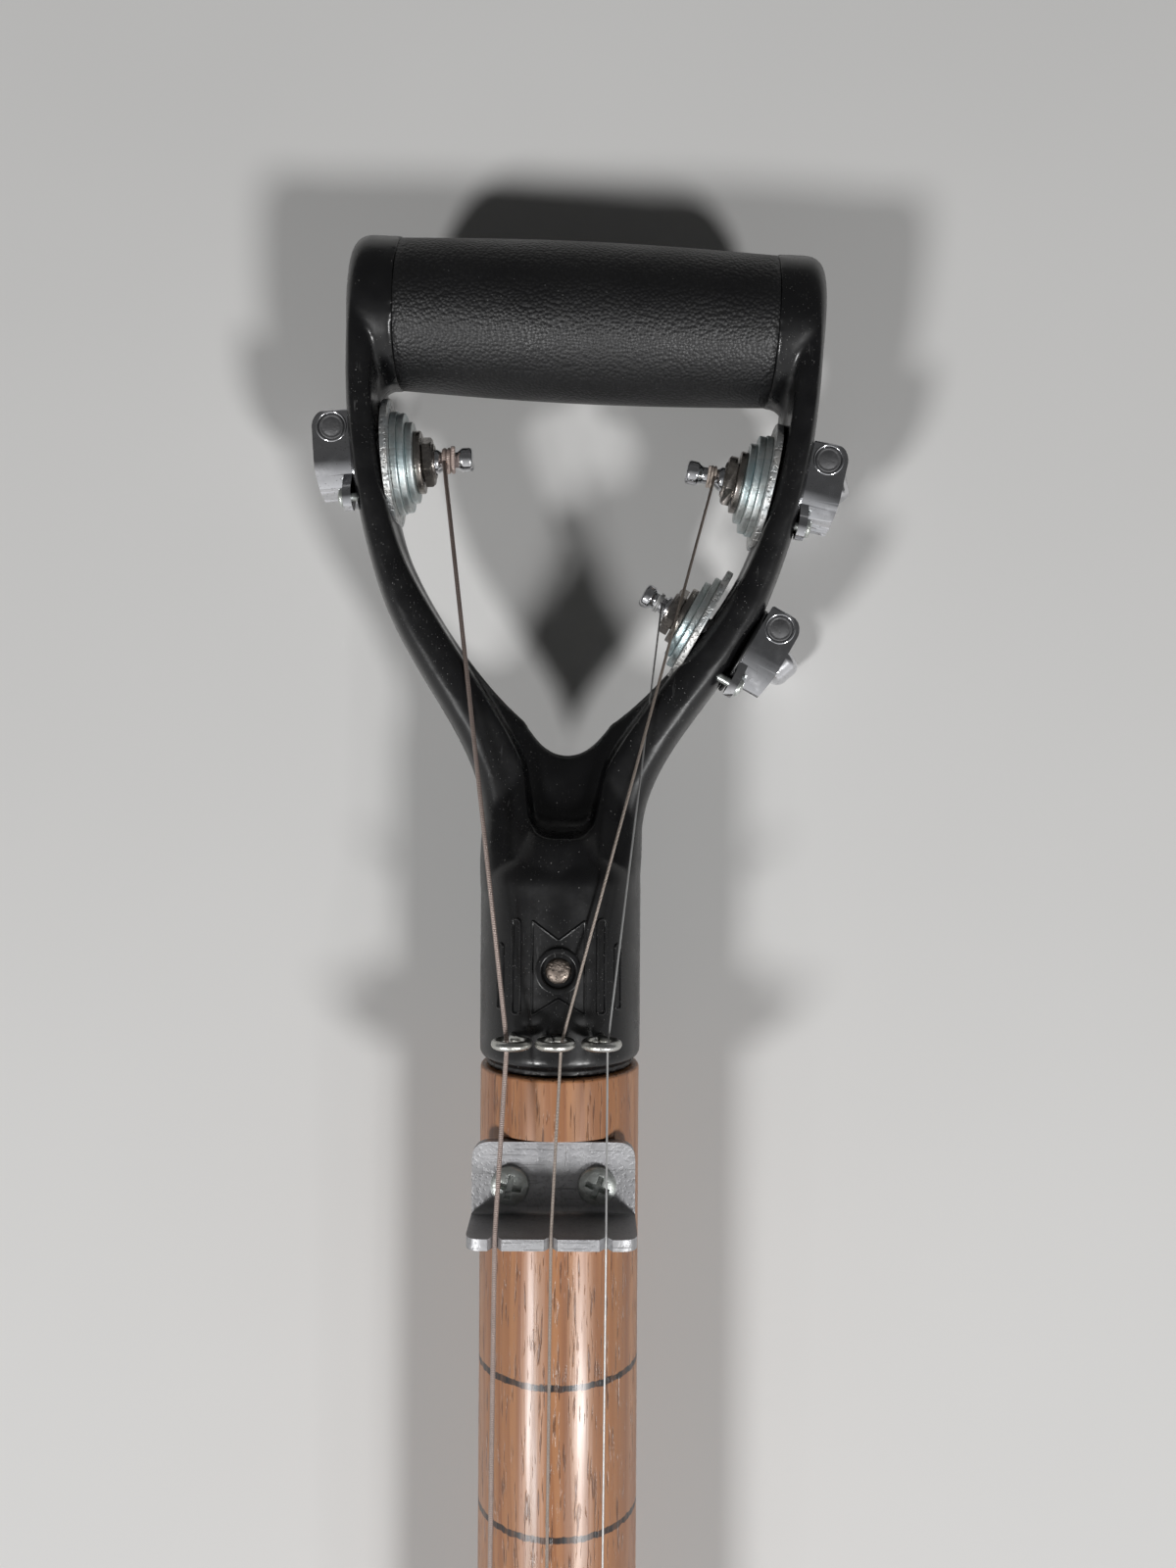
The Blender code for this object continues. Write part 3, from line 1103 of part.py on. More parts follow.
def main():
    """Build the whole instrument."""
    clear_scene()
    finishes = make_finishes()
    root = empty("instrument", None, (0, -0.5 * (GRIP_TOP + BLADE_END), BUTTON_END))
    grip_frame = empty("grip_frame", root, GRIP_FOOT, (0, 0, GRIP_CANT))
    grip, rivet_hole = make_grip(grip_frame, root, finishes["black"], finishes["rubber"], finishes["steel"])
    shaft = make_shaft(root, finishes["wood"], rivet_hole)
    make_nut(root, shaft, finishes["aluminium"], finishes["steel"])
    make_eyes(root, shaft, grip, finishes["zinc"])
    blade = make_blade(root, finishes["blade"], finishes["steel"])
    make_bridge(root, blade, finishes["aluminium"], finishes["steel"])
    for tuner in TUNERS:
        make_tuner(tuner, grip_frame, root, grip, finishes)


main()
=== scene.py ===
"""Looks of the shovel guitar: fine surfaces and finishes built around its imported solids.

The instrument lies on its back with the strings up, the D-grip towards +Y. Shapes are worked out in
millimetres in a Place, a frame that stands in the world, and put into the mesh in metres. The neck
place has its origin on the shaft axis under the nut's string edge. The grip place has its Y along the
middle of the grip's fork, which leans a little from the shaft about a point up its socket. Each tuning
machine has a place on its own post.
"""
import json
import logging
import math
from dataclasses import dataclass
from enum import Enum

import bmesh
import bpy
import numpy as np
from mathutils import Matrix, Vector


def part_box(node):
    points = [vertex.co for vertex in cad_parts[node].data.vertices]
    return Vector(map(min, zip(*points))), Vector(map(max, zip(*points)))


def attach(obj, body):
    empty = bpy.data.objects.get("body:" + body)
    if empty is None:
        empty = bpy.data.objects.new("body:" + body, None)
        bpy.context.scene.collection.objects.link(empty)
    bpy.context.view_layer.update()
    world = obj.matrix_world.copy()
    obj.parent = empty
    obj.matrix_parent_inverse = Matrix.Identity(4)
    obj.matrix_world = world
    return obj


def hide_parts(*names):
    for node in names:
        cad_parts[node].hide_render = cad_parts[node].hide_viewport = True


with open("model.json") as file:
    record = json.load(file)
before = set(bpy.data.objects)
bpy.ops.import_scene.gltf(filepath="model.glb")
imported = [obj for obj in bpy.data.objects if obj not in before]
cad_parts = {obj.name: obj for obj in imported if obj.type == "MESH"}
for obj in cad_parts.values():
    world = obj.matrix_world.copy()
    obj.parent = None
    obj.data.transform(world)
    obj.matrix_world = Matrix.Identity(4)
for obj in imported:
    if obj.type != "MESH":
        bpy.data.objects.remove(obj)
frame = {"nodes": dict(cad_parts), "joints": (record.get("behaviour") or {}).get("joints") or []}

Triple = tuple[float, float, float]
Mesh = bpy.types.Mesh
Socket = bpy.types.NodeSocket

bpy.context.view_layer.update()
LOG = logging.getLogger("shovel_guitar")
MM = 0.001
UP = np.array((0.0, 0.0, 1.0))
AXIS_Z = float(frame["joints"][0]["pos_m"][2])
NECK_Y = float(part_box("nut_angle")[0].y)
SCALE_LENGTH = 648.0
SEMITONES = 12.0
SOCKET_START = 33.1
LIP_RISE = 1.8
SOCKET_END = SOCKET_START + LIP_RISE
SHAFT_MOUTH = -317.0
GRIP_CANT = math.radians(-2.4)
GRIP_PIVOT = 50.0
INSTRUMENT = "instrument"
RUN = "run"


class Heading(Enum):
    """Which way a shape made along Z is laid: rows are its X, Y and Z in the place it lies in."""

    DOWN = ((1, 0, 0), (0, -1, 0), (0, 0, -1))
    OUT = ((0, 1, 0), (0, 0, 1), (1, 0, 0))
    IN = ((0, 1, 0), (0, 0, -1), (-1, 0, 0))
    ALONG = ((0, 0, 1), (1, 0, 0), (0, 1, 0))


class Cut(Enum):
    """How a second body shapes a first one."""

    AWAY = "DIFFERENCE"
    JOIN = "UNION"
    COMMON = "INTERSECT"


class Gauge(Enum):
    """The three strings by diameter in millimetres, thick to thin."""

    THICK = 1.05
    MIDDLE = 0.70
    THIN = 0.45


@dataclass(frozen=True, eq=False)
class Place:
    """A frame in the world: its origin in metres, and its three axes as rows."""

    origin: np.ndarray
    axes: np.ndarray

    def put(self, points: np.ndarray) -> np.ndarray:
        """Points given here in millimetres, as metres in the world."""
        return self.origin + (np.asarray(points, float) * MM) @ self.axes

    def take(self, points: np.ndarray) -> np.ndarray:
        """Points of the world in metres, as millimetres here."""
        return ((points - self.origin) @ self.axes.T) / MM

    def shifted(self, x: float, y: float, z: float) -> "Place":
        """This place moved by an offset in millimetres along its own axes."""
        return Place(self.put(np.array((x, y, z))), self.axes)

    def facing(self, heading: Heading) -> "Place":
        """This place with its Z laid along one of its headings."""
        return Place(self.origin, np.array(heading.value, float) @ self.axes)

    def turned(self, angle: float) -> "Place":
        """This place turned about its own Z."""
        c, s = math.cos(angle), math.sin(angle)
        return Place(self.origin, np.array(((c, s, 0), (-s, c, 0), (0, 0, 1))) @ self.axes)


NECK = Place(np.array((0.0, NECK_Y, AXIS_Z)), np.eye(3))
SOCKET = NECK.shifted(0.0, SOCKET_START, 0.0)
GRIP = SOCKET.shifted(0.0, GRIP_PIVOT, 0.0).turned(GRIP_CANT).shifted(0.0, -GRIP_PIVOT, 0.0)


@dataclass(frozen=True, eq=False)
class Patch:
    """A surface before it is a mesh: points, arrays of faces, and each point's way along a wire."""

    points: np.ndarray
    faces: tuple[np.ndarray, ...]
    run: np.ndarray | None = None

    def at(self, place: Place) -> "Patch":
        """This patch put into the world."""
        return Patch(place.put(self.points), self.faces, self.run)

    def reordered(self, *order: int) -> "Patch":
        """This patch with its coordinates taken in another order."""
        return Patch(self.points[:, list(order)], self.faces, self.run)


def node_points(node: str) -> np.ndarray:
    """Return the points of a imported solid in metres."""
    vertices = frame["nodes"][node].data.vertices
    points = np.empty(len(vertices) * 3, np.float32)
    vertices.foreach_get("co", points)
    return points.reshape(-1, 3).astype(float)


def extent(node: str, place: Place) -> tuple[np.ndarray, np.ndarray]:
    """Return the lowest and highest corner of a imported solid, in millimetres of a place."""
    points = place.take(node_points(node))
    return points.min(axis=0), points.max(axis=0)


def joint(name: str) -> dict:
    """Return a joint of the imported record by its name."""
    return next(row for row in frame["joints"] if row["name"] == name)


def joined(*values: np.ndarray | float) -> np.ndarray:
    """Return points made of these coordinates, each spread to the shape of all."""
    return np.stack(np.broadcast_arrays(*values), axis=-1)


def circle_angles(steps: int) -> np.ndarray:
    """Return angles evenly round a circle."""
    return np.linspace(0.0, 2.0 * np.pi, steps, endpoint=False)


def quarter(count: int) -> np.ndarray:
    """Return angles from 0 to a right angle."""
    return np.linspace(0.0, 0.5 * np.pi, count)


def smooth_step(value: np.ndarray, start: float, end: float) -> np.ndarray:
    """Return 0 to 1 as value goes from start to end: 3t^2 - 2t^3, level at both ends."""
    t = np.clip((value - start) / (end - start), 0.0, 1.0)
    return t * t * (3.0 - 2.0 * t)


def arc(centre: tuple[float, float], radius: float, start: float, end: float, steps: int) -> np.ndarray:
    """Return points of a circle's arc in a plane, angles in degrees."""
    angles = np.radians(np.linspace(start, end, steps + 1))
    return joined(centre[0] + radius * np.cos(angles), centre[1] + radius * np.sin(angles))


def rectangle(left: float, right: float, low: float, high: float) -> np.ndarray:
    """Return a rectangle's corners, from the lower left one by way of the lower right."""
    return np.array(((left, low), (right, low), (right, high), (left, high)), float)


def soft_corners(corners: np.ndarray, setbacks: np.ndarray, steps: int = 6) -> np.ndarray:
    """Return a closed outline whose corners are rounded.

    Each corner P becomes the curve (1-t)^2 A + 2t(1-t) P + t^2 B, where A and B lie its setback away
    on the two sides that meet there.

    Args:
        corners: the outline's corners in order.
        setbacks: how far from each corner its rounding starts.
        steps: points along each rounding, less one.

    Returns:
        The points of the rounded outline.
    """
    corners = np.asarray(corners, float)
    t = np.linspace(0.0, 1.0, steps + 1)[None, :, None]
    reach = np.broadcast_to(np.asarray(setbacks, float), len(corners))[:, None]
    back = np.roll(corners, 1, axis=0) - corners
    ahead = np.roll(corners, -1, axis=0) - corners
    start = (corners + back / np.linalg.norm(back, axis=1, keepdims=True) * reach)[:, None, :]
    end = (corners + ahead / np.linalg.norm(ahead, axis=1, keepdims=True) * reach)[:, None, :]
    curve = (1 - t) ** 2 * start + 2 * t * (1 - t) * corners[:, None, :] + t ** 2 * end
    return curve.reshape(-1, corners.shape[1])


def bezier(controls: np.ndarray, t: np.ndarray) -> np.ndarray:
    """Return points of a cubic curve: the cubic Bernstein sum of its four controls."""
    a, b, c, d = np.asarray(controls, float)
    t = t[:, None]
    return a * (1 - t) ** 3 + 3 * b * t * (1 - t) ** 2 + 3 * c * t ** 2 * (1 - t) + d * t ** 3


def quads(rows: int, columns: int, wrap: bool) -> np.ndarray:
    """Return the four-cornered faces of a grid of points, closed round its columns if wrap."""
    row = np.arange(rows - 1)[:, None]
    column = np.arange(columns if wrap else columns - 1)[None, :]
    after = (column + 1) % columns
    corners = (row * columns + column, row * columns + after,
               (row + 1) * columns + after, (row + 1) * columns + column)
    return np.stack(corners, axis=-1).reshape(-1, 4)


def sheet(grid: np.ndarray) -> Patch:
    """Return an open surface through a grid of points."""
    rows, columns = grid.shape[:2]
    return Patch(grid.reshape(-1, 3), (quads(rows, columns, False),))


def skin(grid: np.ndarray, run: np.ndarray | None = None) -> Patch:
    """Return a closed body through rings of points, with a flat face on its first and last ring."""
    rows, columns = grid.shape[:2]
    first = np.arange(columns)[None, :]
    faces = (quads(rows, columns, True), first, first + (rows - 1) * columns)
    return Patch(grid.reshape(-1, 3), faces, None if run is None else np.repeat(run, columns))


def lathe(profile: np.ndarray, steps: int = 64) -> Patch:
    """Return a solid turned about Z: each (r, h) of the profile becomes the ring (r cos a, r sin a, h).

    Args:
        profile: radius and height from bottom to top, starting and ending on the axis.
        steps: points round each ring.

    Returns:
        The turned surface, its two poles closed by fans.
    """
    profile = np.asarray(profile, float)
    angles = circle_angles(steps)
    r, h = profile[1:-1, 0][:, None], profile[1:-1, 1][:, None]
    rings = joined(r * np.cos(angles), r * np.sin(angles), h)
    count = rings.shape[0] * steps
    poles = np.array(((0.0, 0.0, profile[0, 1]), (0.0, 0.0, profile[-1, 1])))
    around = np.arange(steps)
    after = (around + 1) % steps
    low = np.stack((np.full(steps, count), after, around), axis=-1)
    top = count - steps
    high = np.stack((np.full(steps, count + 1), top + around, top + after), axis=-1)
    points = np.concatenate((rings.reshape(-1, 3), poles))
    return Patch(points, (quads(len(rings), steps, True), low, high))


def cylinder(radius: float, low: float, high: float, steps: int = 64) -> Patch:
    """Return a round bar along Z from low to high."""
    return lathe(((0.0, low), (radius, low), (radius, high), (0.0, high)), steps)


def turned_ring(section: np.ndarray, steps: int = 72) -> Patch:
    """Return a ring about Z: the closed (r, h) section carried round the axis."""
    section = np.asarray(section, float)
    angles = circle_angles(steps)[:, None]
    r, h = section[None, :, 0], section[None, :, 1]
    grid = joined(r * np.cos(angles), r * np.sin(angles), h)
    closed = np.concatenate((grid, grid[:1]))
    faces = quads(len(closed), len(section), True) % (steps * len(section))
    return Patch(grid.reshape(-1, 3), (faces,))


def prism(outline: np.ndarray, low: float, high: float) -> Patch:
    """Return a flat outline in XY given thickness from low to high along Z."""
    x, y = np.asarray(outline, float).T
    return skin(joined(x, y, np.array(((low,), (high,)))))


def tube(path: np.ndarray, radius: float, sides: int, across: Triple = (1.0, 0.0, 0.0)) -> Patch:
    """Return a round wire: a circle carried along a path, square to it.

    Each ring is P + r (cos a S + sin a T), where S is square to the path's heading and to a fixed
    direction, and T is square to both.

    Args:
        path: points along the middle of the wire.
        radius: the wire's radius.
        sides: points round the wire.
        across: a direction that the path never takes.

    Returns:
        The closed surface, with its way along the wire in millimetres.
    """
    path = np.asarray(path, float)
    heading = np.gradient(path, axis=0)
    heading /= np.linalg.norm(heading, axis=1, keepdims=True)
    side = np.cross(heading, np.asarray(across, float))
    side /= np.linalg.norm(side, axis=1, keepdims=True)
    other = np.cross(side, heading)
    angles = circle_angles(sides)[None, :, None]
    grid = path[:, None] + radius * (np.cos(angles) * side[:, None] + np.sin(angles) * other[:, None])
    steps = np.linalg.norm(np.diff(path, axis=0), axis=1)
    return skin(grid, np.concatenate(((0.0,), np.cumsum(steps))))


def bent_path(points: np.ndarray, setback: float, steps: int = 5) -> np.ndarray:
    """Return an open path whose inner corners are rounded as in soft_corners."""
    points = np.asarray(points, float)
    inner = soft_corners(points, setback, steps).reshape(len(points), steps + 1, 3)[1:-1].reshape(-1, 3)
    return np.concatenate((points[:1], inner, points[-1:]))


def linked(name: str, data: bpy.types.ID | None) -> bpy.types.Object:
    """Return a new object of the scene that holds some data, or none."""
    obj = bpy.data.objects.new(name, data)
    bpy.context.scene.collection.objects.link(obj)
    return obj


def configure(thing: bpy.types.bpy_struct, settings: dict[str, object]) -> None:
    """Set properties of a node or a modifier, in order."""
    for key, value in settings.items():
        setattr(thing, key, value)


def modify(obj: bpy.types.Object, kind: str, **settings: object) -> None:
    """Add a modifier to an object and set its properties."""
    configure(obj.modifiers.new(kind.lower(), kind), settings)


def mesh_of(name: str, *patches: Patch) -> Mesh:
    """Return one smooth mesh of several patches, with its faces turned out."""
    starts = np.cumsum([0] + [len(patch.points) for patch in patches])
    faces = [face for patch, start in zip(patches, starts) for rows in patch.faces
             for face in (rows + start).tolist()]
    mesh = bpy.data.meshes.new(name)
    mesh.from_pydata(np.concatenate([patch.points for patch in patches]), [], faces)
    work = bmesh.new()
    work.from_mesh(mesh)
    bmesh.ops.recalc_face_normals(work, faces=work.faces)
    work.to_mesh(mesh)
    work.free()
    if all(patch.run is not None for patch in patches):
        run = mesh.attributes.new(RUN, "FLOAT", "POINT")
        run.data.foreach_set("value", np.concatenate([patch.run for patch in patches]).astype(np.float32))
    mesh.shade_smooth()
    return mesh


def finished(obj: bpy.types.Object, helpers: list[bpy.types.Object]) -> Mesh:
    """Return the mesh of a working object with its modifiers applied, and drop the working objects."""
    bpy.context.view_layer.update()
    graph = bpy.context.evaluated_depsgraph_get()
    mesh = bpy.data.meshes.new_from_object(obj.evaluated_get(graph))
    for spent in [obj, *helpers]:
        bpy.data.objects.remove(spent, do_unlink=True)
    mesh.shade_smooth()
    return mesh


def shaped(mesh: Mesh, cuts: list[tuple[Cut, Mesh]], edge: float = 0.0, segments: int = 3,
           sharp: float = 38.0) -> Mesh:
    """Return a mesh cut by other bodies, with its edges rounded.

    Args:
        mesh: the body to shape.
        cuts: the other bodies, each with how it shapes the first.
        edge: the width of the rounding in millimetres, or 0 for none.
        segments: faces across each rounding.
        sharp: edges that turn by more degrees than this are rounded.

    Returns:
        The shaped mesh, shaded by the size of its faces.
    """
    obj = linked("working", mesh)
    helpers = []
    for kind, body in cuts:
        helpers.append(linked("working", body))
        modify(obj, "BOOLEAN", operation=kind.value, object=helpers[-1], solver="EXACT")
    if edge > 0.0:
        modify(obj, "BEVEL", width=edge * MM, segments=segments, limit_method="ANGLE",
               angle_limit=math.radians(sharp))
    modify(obj, "WEIGHTED_NORMAL")
    return finished(obj, helpers)


def fused(mesh: Mesh, voxel: float, passes: int) -> Mesh:
    """Return overlapping bodies grown into one moulding, its creases eased by a few smoothing passes."""
    obj = linked("working", mesh)
    modify(obj, "REMESH", mode="VOXEL", voxel_size=voxel * MM)
    modify(obj, "SMOOTH", factor=0.5, iterations=passes)
    return finished(obj, [])


class Graph:
    """A node tree, with short ways to add the nodes that the finishes and the world use."""

    def __init__(self, tree: bpy.types.NodeTree, coordinates: str) -> None:
        """Start on a tree, with one kind of texture coordinates as its place."""
        self.tree = tree
        self.here = tree.nodes.new("ShaderNodeTexCoord").outputs[coordinates]

    def plug(self, socket: Socket, value: object) -> None:
        """Link a socket to another one, or set its value."""
        if isinstance(value, Socket):
            self.tree.links.new(value, socket)
        elif isinstance(value, tuple) and len(value) == 3 and socket.type == "RGBA":
            socket.default_value = (*value, 1.0)
        else:
            socket.default_value = value

    def node(self, kind: str, inputs: dict[str | int, object], **settings: object) -> bpy.types.Node:
        """Add a node, set its options, and plug its inputs."""
        made = self.tree.nodes.new(kind)
        configure(made, settings)
        for key, value in inputs.items():
            self.plug(made.inputs[key], value)
        return made

    def axis(self, letter: str) -> Socket:
        """One coordinate of the place."""
        return self.node("ShaderNodeSeparateXYZ", {"Vector": self.here}).outputs[letter]

    def math(self, operation: str, *numbers: object) -> Socket:
        """One operation on up to three numbers."""
        return self.node("ShaderNodeMath", dict(enumerate(numbers)), operation=operation).outputs[0]

    def times(self, a: object, b: object) -> Socket:
        """Two numbers multiplied."""
        return self.math("MULTIPLY", a, b)

    def plus(self, a: object, b: object) -> Socket:
        """Two numbers added."""
        return self.math("ADD", a, b)

    def minus(self, a: object, b: object) -> Socket:
        """The second number taken from the first."""
        return self.math("SUBTRACT", a, b)

    def span(self, value: Socket, low: float, high: float, start: float = 0.0, end: float = 1.0) -> Socket:
        """A value from low to high carried to start to end, held at both ends."""
        inputs = {"Value": value, "From Min": low, "From Max": high, "To Min": start, "To Max": end}
        return self.node("ShaderNodeMapRange", inputs).outputs["Result"]


class Shade(Graph):
    """The node graph of one material."""

    NOISE_LOW = 0.3
    NOISE_HIGH = 0.7
    SPECK_EDGE = 0.05

    def __init__(self, name: str) -> None:
        """Start a material with its Principled shader and its Object coordinates."""
        self.material = bpy.data.materials.new(name)
        self.material.use_nodes = True
        super().__init__(self.material.node_tree, "Object")
        self.shader = self.tree.nodes["Principled BSDF"]

    def surface(self, **sockets: object) -> None:
        """Plug sockets of the shader, named with underscores for spaces."""
        for name, value in sockets.items():
            self.plug(self.shader.inputs[name.replace("_", " ")], value)

    def stretched(self, x: float, y: float, z: float) -> Socket:
        """Object coordinates scaled along each axis."""
        return self.node("ShaderNodeMapping", {"Vector": self.here, "Scale": (x, y, z)}).outputs["Vector"]

    def along(self, share: float) -> Socket:
        """Object coordinates that draw a pattern out along Y."""
        return self.stretched(1.0, share, 1.0)

    def noise(self, scale: float, detail: float, where: Socket | None = None) -> Socket:
        """A cloudy value about 0.5, in cells of one over scale metres."""
        inputs = {"Vector": where or self.here, "Scale": scale, "Detail": detail}
        return self.node("ShaderNodeTexNoise", inputs).outputs["Fac"]

    def patches(self, scale: float, detail: float, low: float, high: float,
                where: Socket | None = None) -> Socket:
        """A mask of the noise's peaks: 0 below low, 1 above high."""
        return self.span(self.noise(scale, detail, where), low, high)

    def drift(self, scale: float, detail: float, start: float, end: float,
              where: Socket | None = None) -> Socket:
        """A value that wanders from start to end with the noise."""
        return self.span(self.noise(scale, detail, where), self.NOISE_LOW, self.NOISE_HIGH, start, end)

    def mix(self, share: Socket, a: object, b: object, amount: float | None = None) -> Socket:
        """A colour between two, by share, or by an amount of it."""
        part = share if amount is None else self.times(share, amount)
        mixed = self.node("ShaderNodeMix", {}, data_type="RGBA")
        for index, value in ((0, part), (6, a), (7, b)):
            self.plug(mixed.inputs[index], value)
        return mixed.outputs[2]

    def cells(self, scale: float) -> bpy.types.Node:
        """Cells of one over scale metres, each with its own colour and the distance from its middle."""
        return self.node("ShaderNodeTexVoronoi", {"Vector": self.here, "Scale": scale})

    def specks(self, scale: float, size: float, rarity: float) -> Socket:
        """A mask of round specks of unlike size, one in some of the cells of one over scale metres."""
        cell = self.cells(scale)
        draw = self.node("ShaderNodeSeparateColor", {"Color": cell.outputs["Color"]}).outputs[0]
        radius = self.times(self.math("POWER", draw, rarity), size)
        return self.span(self.minus(radius, cell.outputs["Distance"]), 0.0, self.SPECK_EDGE)

    def bump(self, height: Socket, strength: float, depth: float, under: Socket | None = None) -> Socket:
        """A normal raised by a height, or sunk by it where the strength is negative, over another bump.

        The depth is what a full height raises, in millimetres.
        """
        inputs = {"Height": height, "Strength": abs(strength), "Distance": depth * MM}
        if under is not None:
            inputs["Normal"] = under
        return self.node("ShaderNodeBump", inputs, invert=strength < 0.0).outputs["Normal"]


@dataclass(frozen=True)
class Finish:
    """What a surface is made of: the name of its material and its slot in the record."""

    name: str
    slot: str

    def paint(self, shade: Shade) -> None:
        """Draw the finish into a node graph."""
        raise NotImplementedError

    def material(self) -> bpy.types.Material:
        """Return the finish as a material, made once."""
        ready = bpy.data.materials.get(self.name)
        if ready is None:
            shade = Shade(self.name)
            self.paint(shade)
            ready = shade.material
        return ready


@dataclass(frozen=True)
class BlackMoulding(Finish):
    """Semi-gloss black plastic with dust, scuffs, and its mould's parting line as a groove of painted shade.
    """

    colour: Triple = (0.005, 0.005, 0.0055)
    dust: Triple = (0.17, 0.165, 0.16)
    scuffed: Triple = (0.09, 0.09, 0.09)
    shadow: Triple = (0.003, 0.003, 0.003)
    gloss: float = 0.27
    parting: float = 0.00022

    def paint(self, shade: Shade) -> None:
        """Specks of two sizes, thicker in patches, over a cloudy gloss with fine scuffs."""
        patches = shade.patches(45.0, 3.0, 0.42, 0.62)
        coarse = shade.specks(1100.0, 0.2, 7.0)
        fine = shade.specks(2400.0, 0.32, 4.0)
        dusty = shade.math("MAXIMUM", coarse, shade.times(fine, patches))
        marks = shade.times(shade.patches(900.0, 3.0, 0.66, 0.74, shade.along(0.16)), patches)
        # The mould's parting line: a thin band about the middle plane, sunk as a groove and mixed to painted
        # shade.
        away = shade.math("ABSOLUTE", shade.minus(shade.axis("Z"), AXIS_Z))
        seam_groove_and_shade = shade.span(away, self.parting, 2.2 * self.parting, 0.9, 0.0)
        base = shade.mix(dusty, self.colour, self.dust, 0.75)
        base = shade.mix(marks, base, self.scuffed, 0.35)
        base = shade.mix(seam_groove_and_shade, base, self.shadow)
        cloud = shade.drift(160.0, 4.0, self.gloss - 0.07, self.gloss + 0.08)
        rough = shade.plus(cloud, shade.times(shade.plus(dusty, marks), 0.25))
        grain = shade.bump(shade.noise(700.0, 3.0), 0.12, 0.12)
        grain = shade.bump(shade.minus(dusty, seam_groove_and_shade), 0.35, 0.15, grain)
        shade.surface(Base_Color=base, Roughness=rough, Normal=grain)


@dataclass(frozen=True)
class PebbledSleeve(Finish):
    """Black grip sleeve with a fine pebbled skin."""

    colour: Triple = (0.004, 0.004, 0.0045)
    cell_middle_colour: Triple = (0.009, 0.009, 0.0095)
    dust: Triple = (0.16, 0.16, 0.16)
    grain: float = 1300.0

    def paint(self, shade: Shade) -> None:
        """Rounded cells raise the skin, and the raised middles of the cells are a little paler."""
        away = shade.cells(self.grain).outputs["Distance"]
        base = shade.mix(shade.span(away, 0.55, 0.1), self.colour, self.cell_middle_colour, 0.5)
        base = shade.mix(shade.specks(1000.0, 0.18, 8.0), base, self.dust, 0.5)
        rough = shade.drift(60.0, 4.0, 0.4, 0.5)
        shade.surface(Base_Color=base, Roughness=rough, Normal=shade.bump(away, -0.55, 0.3))


@dataclass(frozen=True)
class LacqueredAsh(Finish):
    """Reddish ash under thin lacquer, with fret lines drawn across it in marker ink."""

    pale: Triple = (0.47, 0.22, 0.1)
    dark: Triple = (0.3, 0.122, 0.055)
    pore: Triple = (0.10, 0.04, 0.02)
    ink: Triple = (0.012, 0.01, 0.011)
    ring_width: float = 3.4
    ring_tilt: float = 0.55
    ring_sway: float = 0.022
    ink_half: float = 0.62
    ink_edge: float = 0.22
    ink_reach: float = -6.0

    def grain(self, shade: Shade) -> tuple[Socket, Socket]:
        """Return the wood's colour and its height: growth bands, then streaks, then open pores."""
        sway = shade.noise(14.0, 2.0, shade.along(0.22))
        tilted = shade.plus(shade.axis("X"), shade.times(shade.axis("Z"), self.ring_tilt))
        across = shade.plus(tilted, shade.times(sway, self.ring_sway))
        band = shade.math("FRACT", shade.math("DIVIDE", across, self.ring_width * MM))
        late = shade.times(shade.span(band, 0.25, 0.9), shade.span(band, 1.0, 0.92))
        streak = shade.noise(420.0, 4.0, shade.along(0.02))
        fibre = shade.noise(1700.0, 2.0, shade.along(0.07))
        pores = shade.span(shade.plus(fibre, shade.times(late, -0.06)), 0.56, 0.66)
        share = shade.plus(shade.times(late, 0.45), shade.span(streak, 0.36, 0.68, 0.0, 0.6))
        base = shade.mix(share, self.pale, self.dark)
        base = shade.mix(pores, base, self.pore, 0.7)
        return base, shade.minus(shade.times(streak, 0.6), pores)

    def frets(self, shade: Shade) -> Socket:
        """Return the mask of the inked lines, where -12 log2(1 - d / scale) is a whole number.

        d is the way down from the nut. The distance to the nearest line is measured in millimetres,
        and a cloudy edge makes the marker's stroke uneven.
        """
        down = shade.math("DIVIDE", shade.minus(NECK_Y, shade.axis("Y")), SCALE_LENGTH * MM)
        left = shade.math("MAXIMUM", shade.minus(1.0, down), 0.05)
        fret = shade.times(shade.math("LOGARITHM", left, 2.0), -SEMITONES)
        miss = shade.math("ABSOLUTE", shade.minus(fret, shade.math("ROUND", fret)))
        gap = shade.times(shade.times(miss, left), SCALE_LENGTH * math.log(2.0) / SEMITONES)
        ragged = shade.plus(gap, shade.drift(700.0, 3.0, -0.28, 0.22))
        line = shade.span(ragged, self.ink_half, self.ink_half + self.ink_edge, 1.0, 0.0)
        below = shade.math("GREATER_THAN", fret, 0.5)
        front = shade.math("GREATER_THAN", shade.axis("Z"), AXIS_Z + self.ink_reach * MM)
        thin = shade.span(shade.noise(900.0, 2.0, shade.along(0.05)), 0.3, 0.6, 0.7, 1.0)
        return shade.times(shade.times(line, below), shade.times(front, thin))

    def paint(self, shade: Shade) -> None:
        """Grain under ink, and lacquer that breaks up over the pores."""
        wood, height = self.grain(shade)
        base = shade.mix(self.frets(shade), wood, self.ink)
        rough = shade.drift(260.0, 4.0, 0.26, 0.42, shade.along(0.1))
        shade.surface(Base_Color=base, Roughness=rough, Normal=shade.bump(height, 0.65, 0.28),
                      Coat_Weight=0.15, Coat_Roughness=0.2)


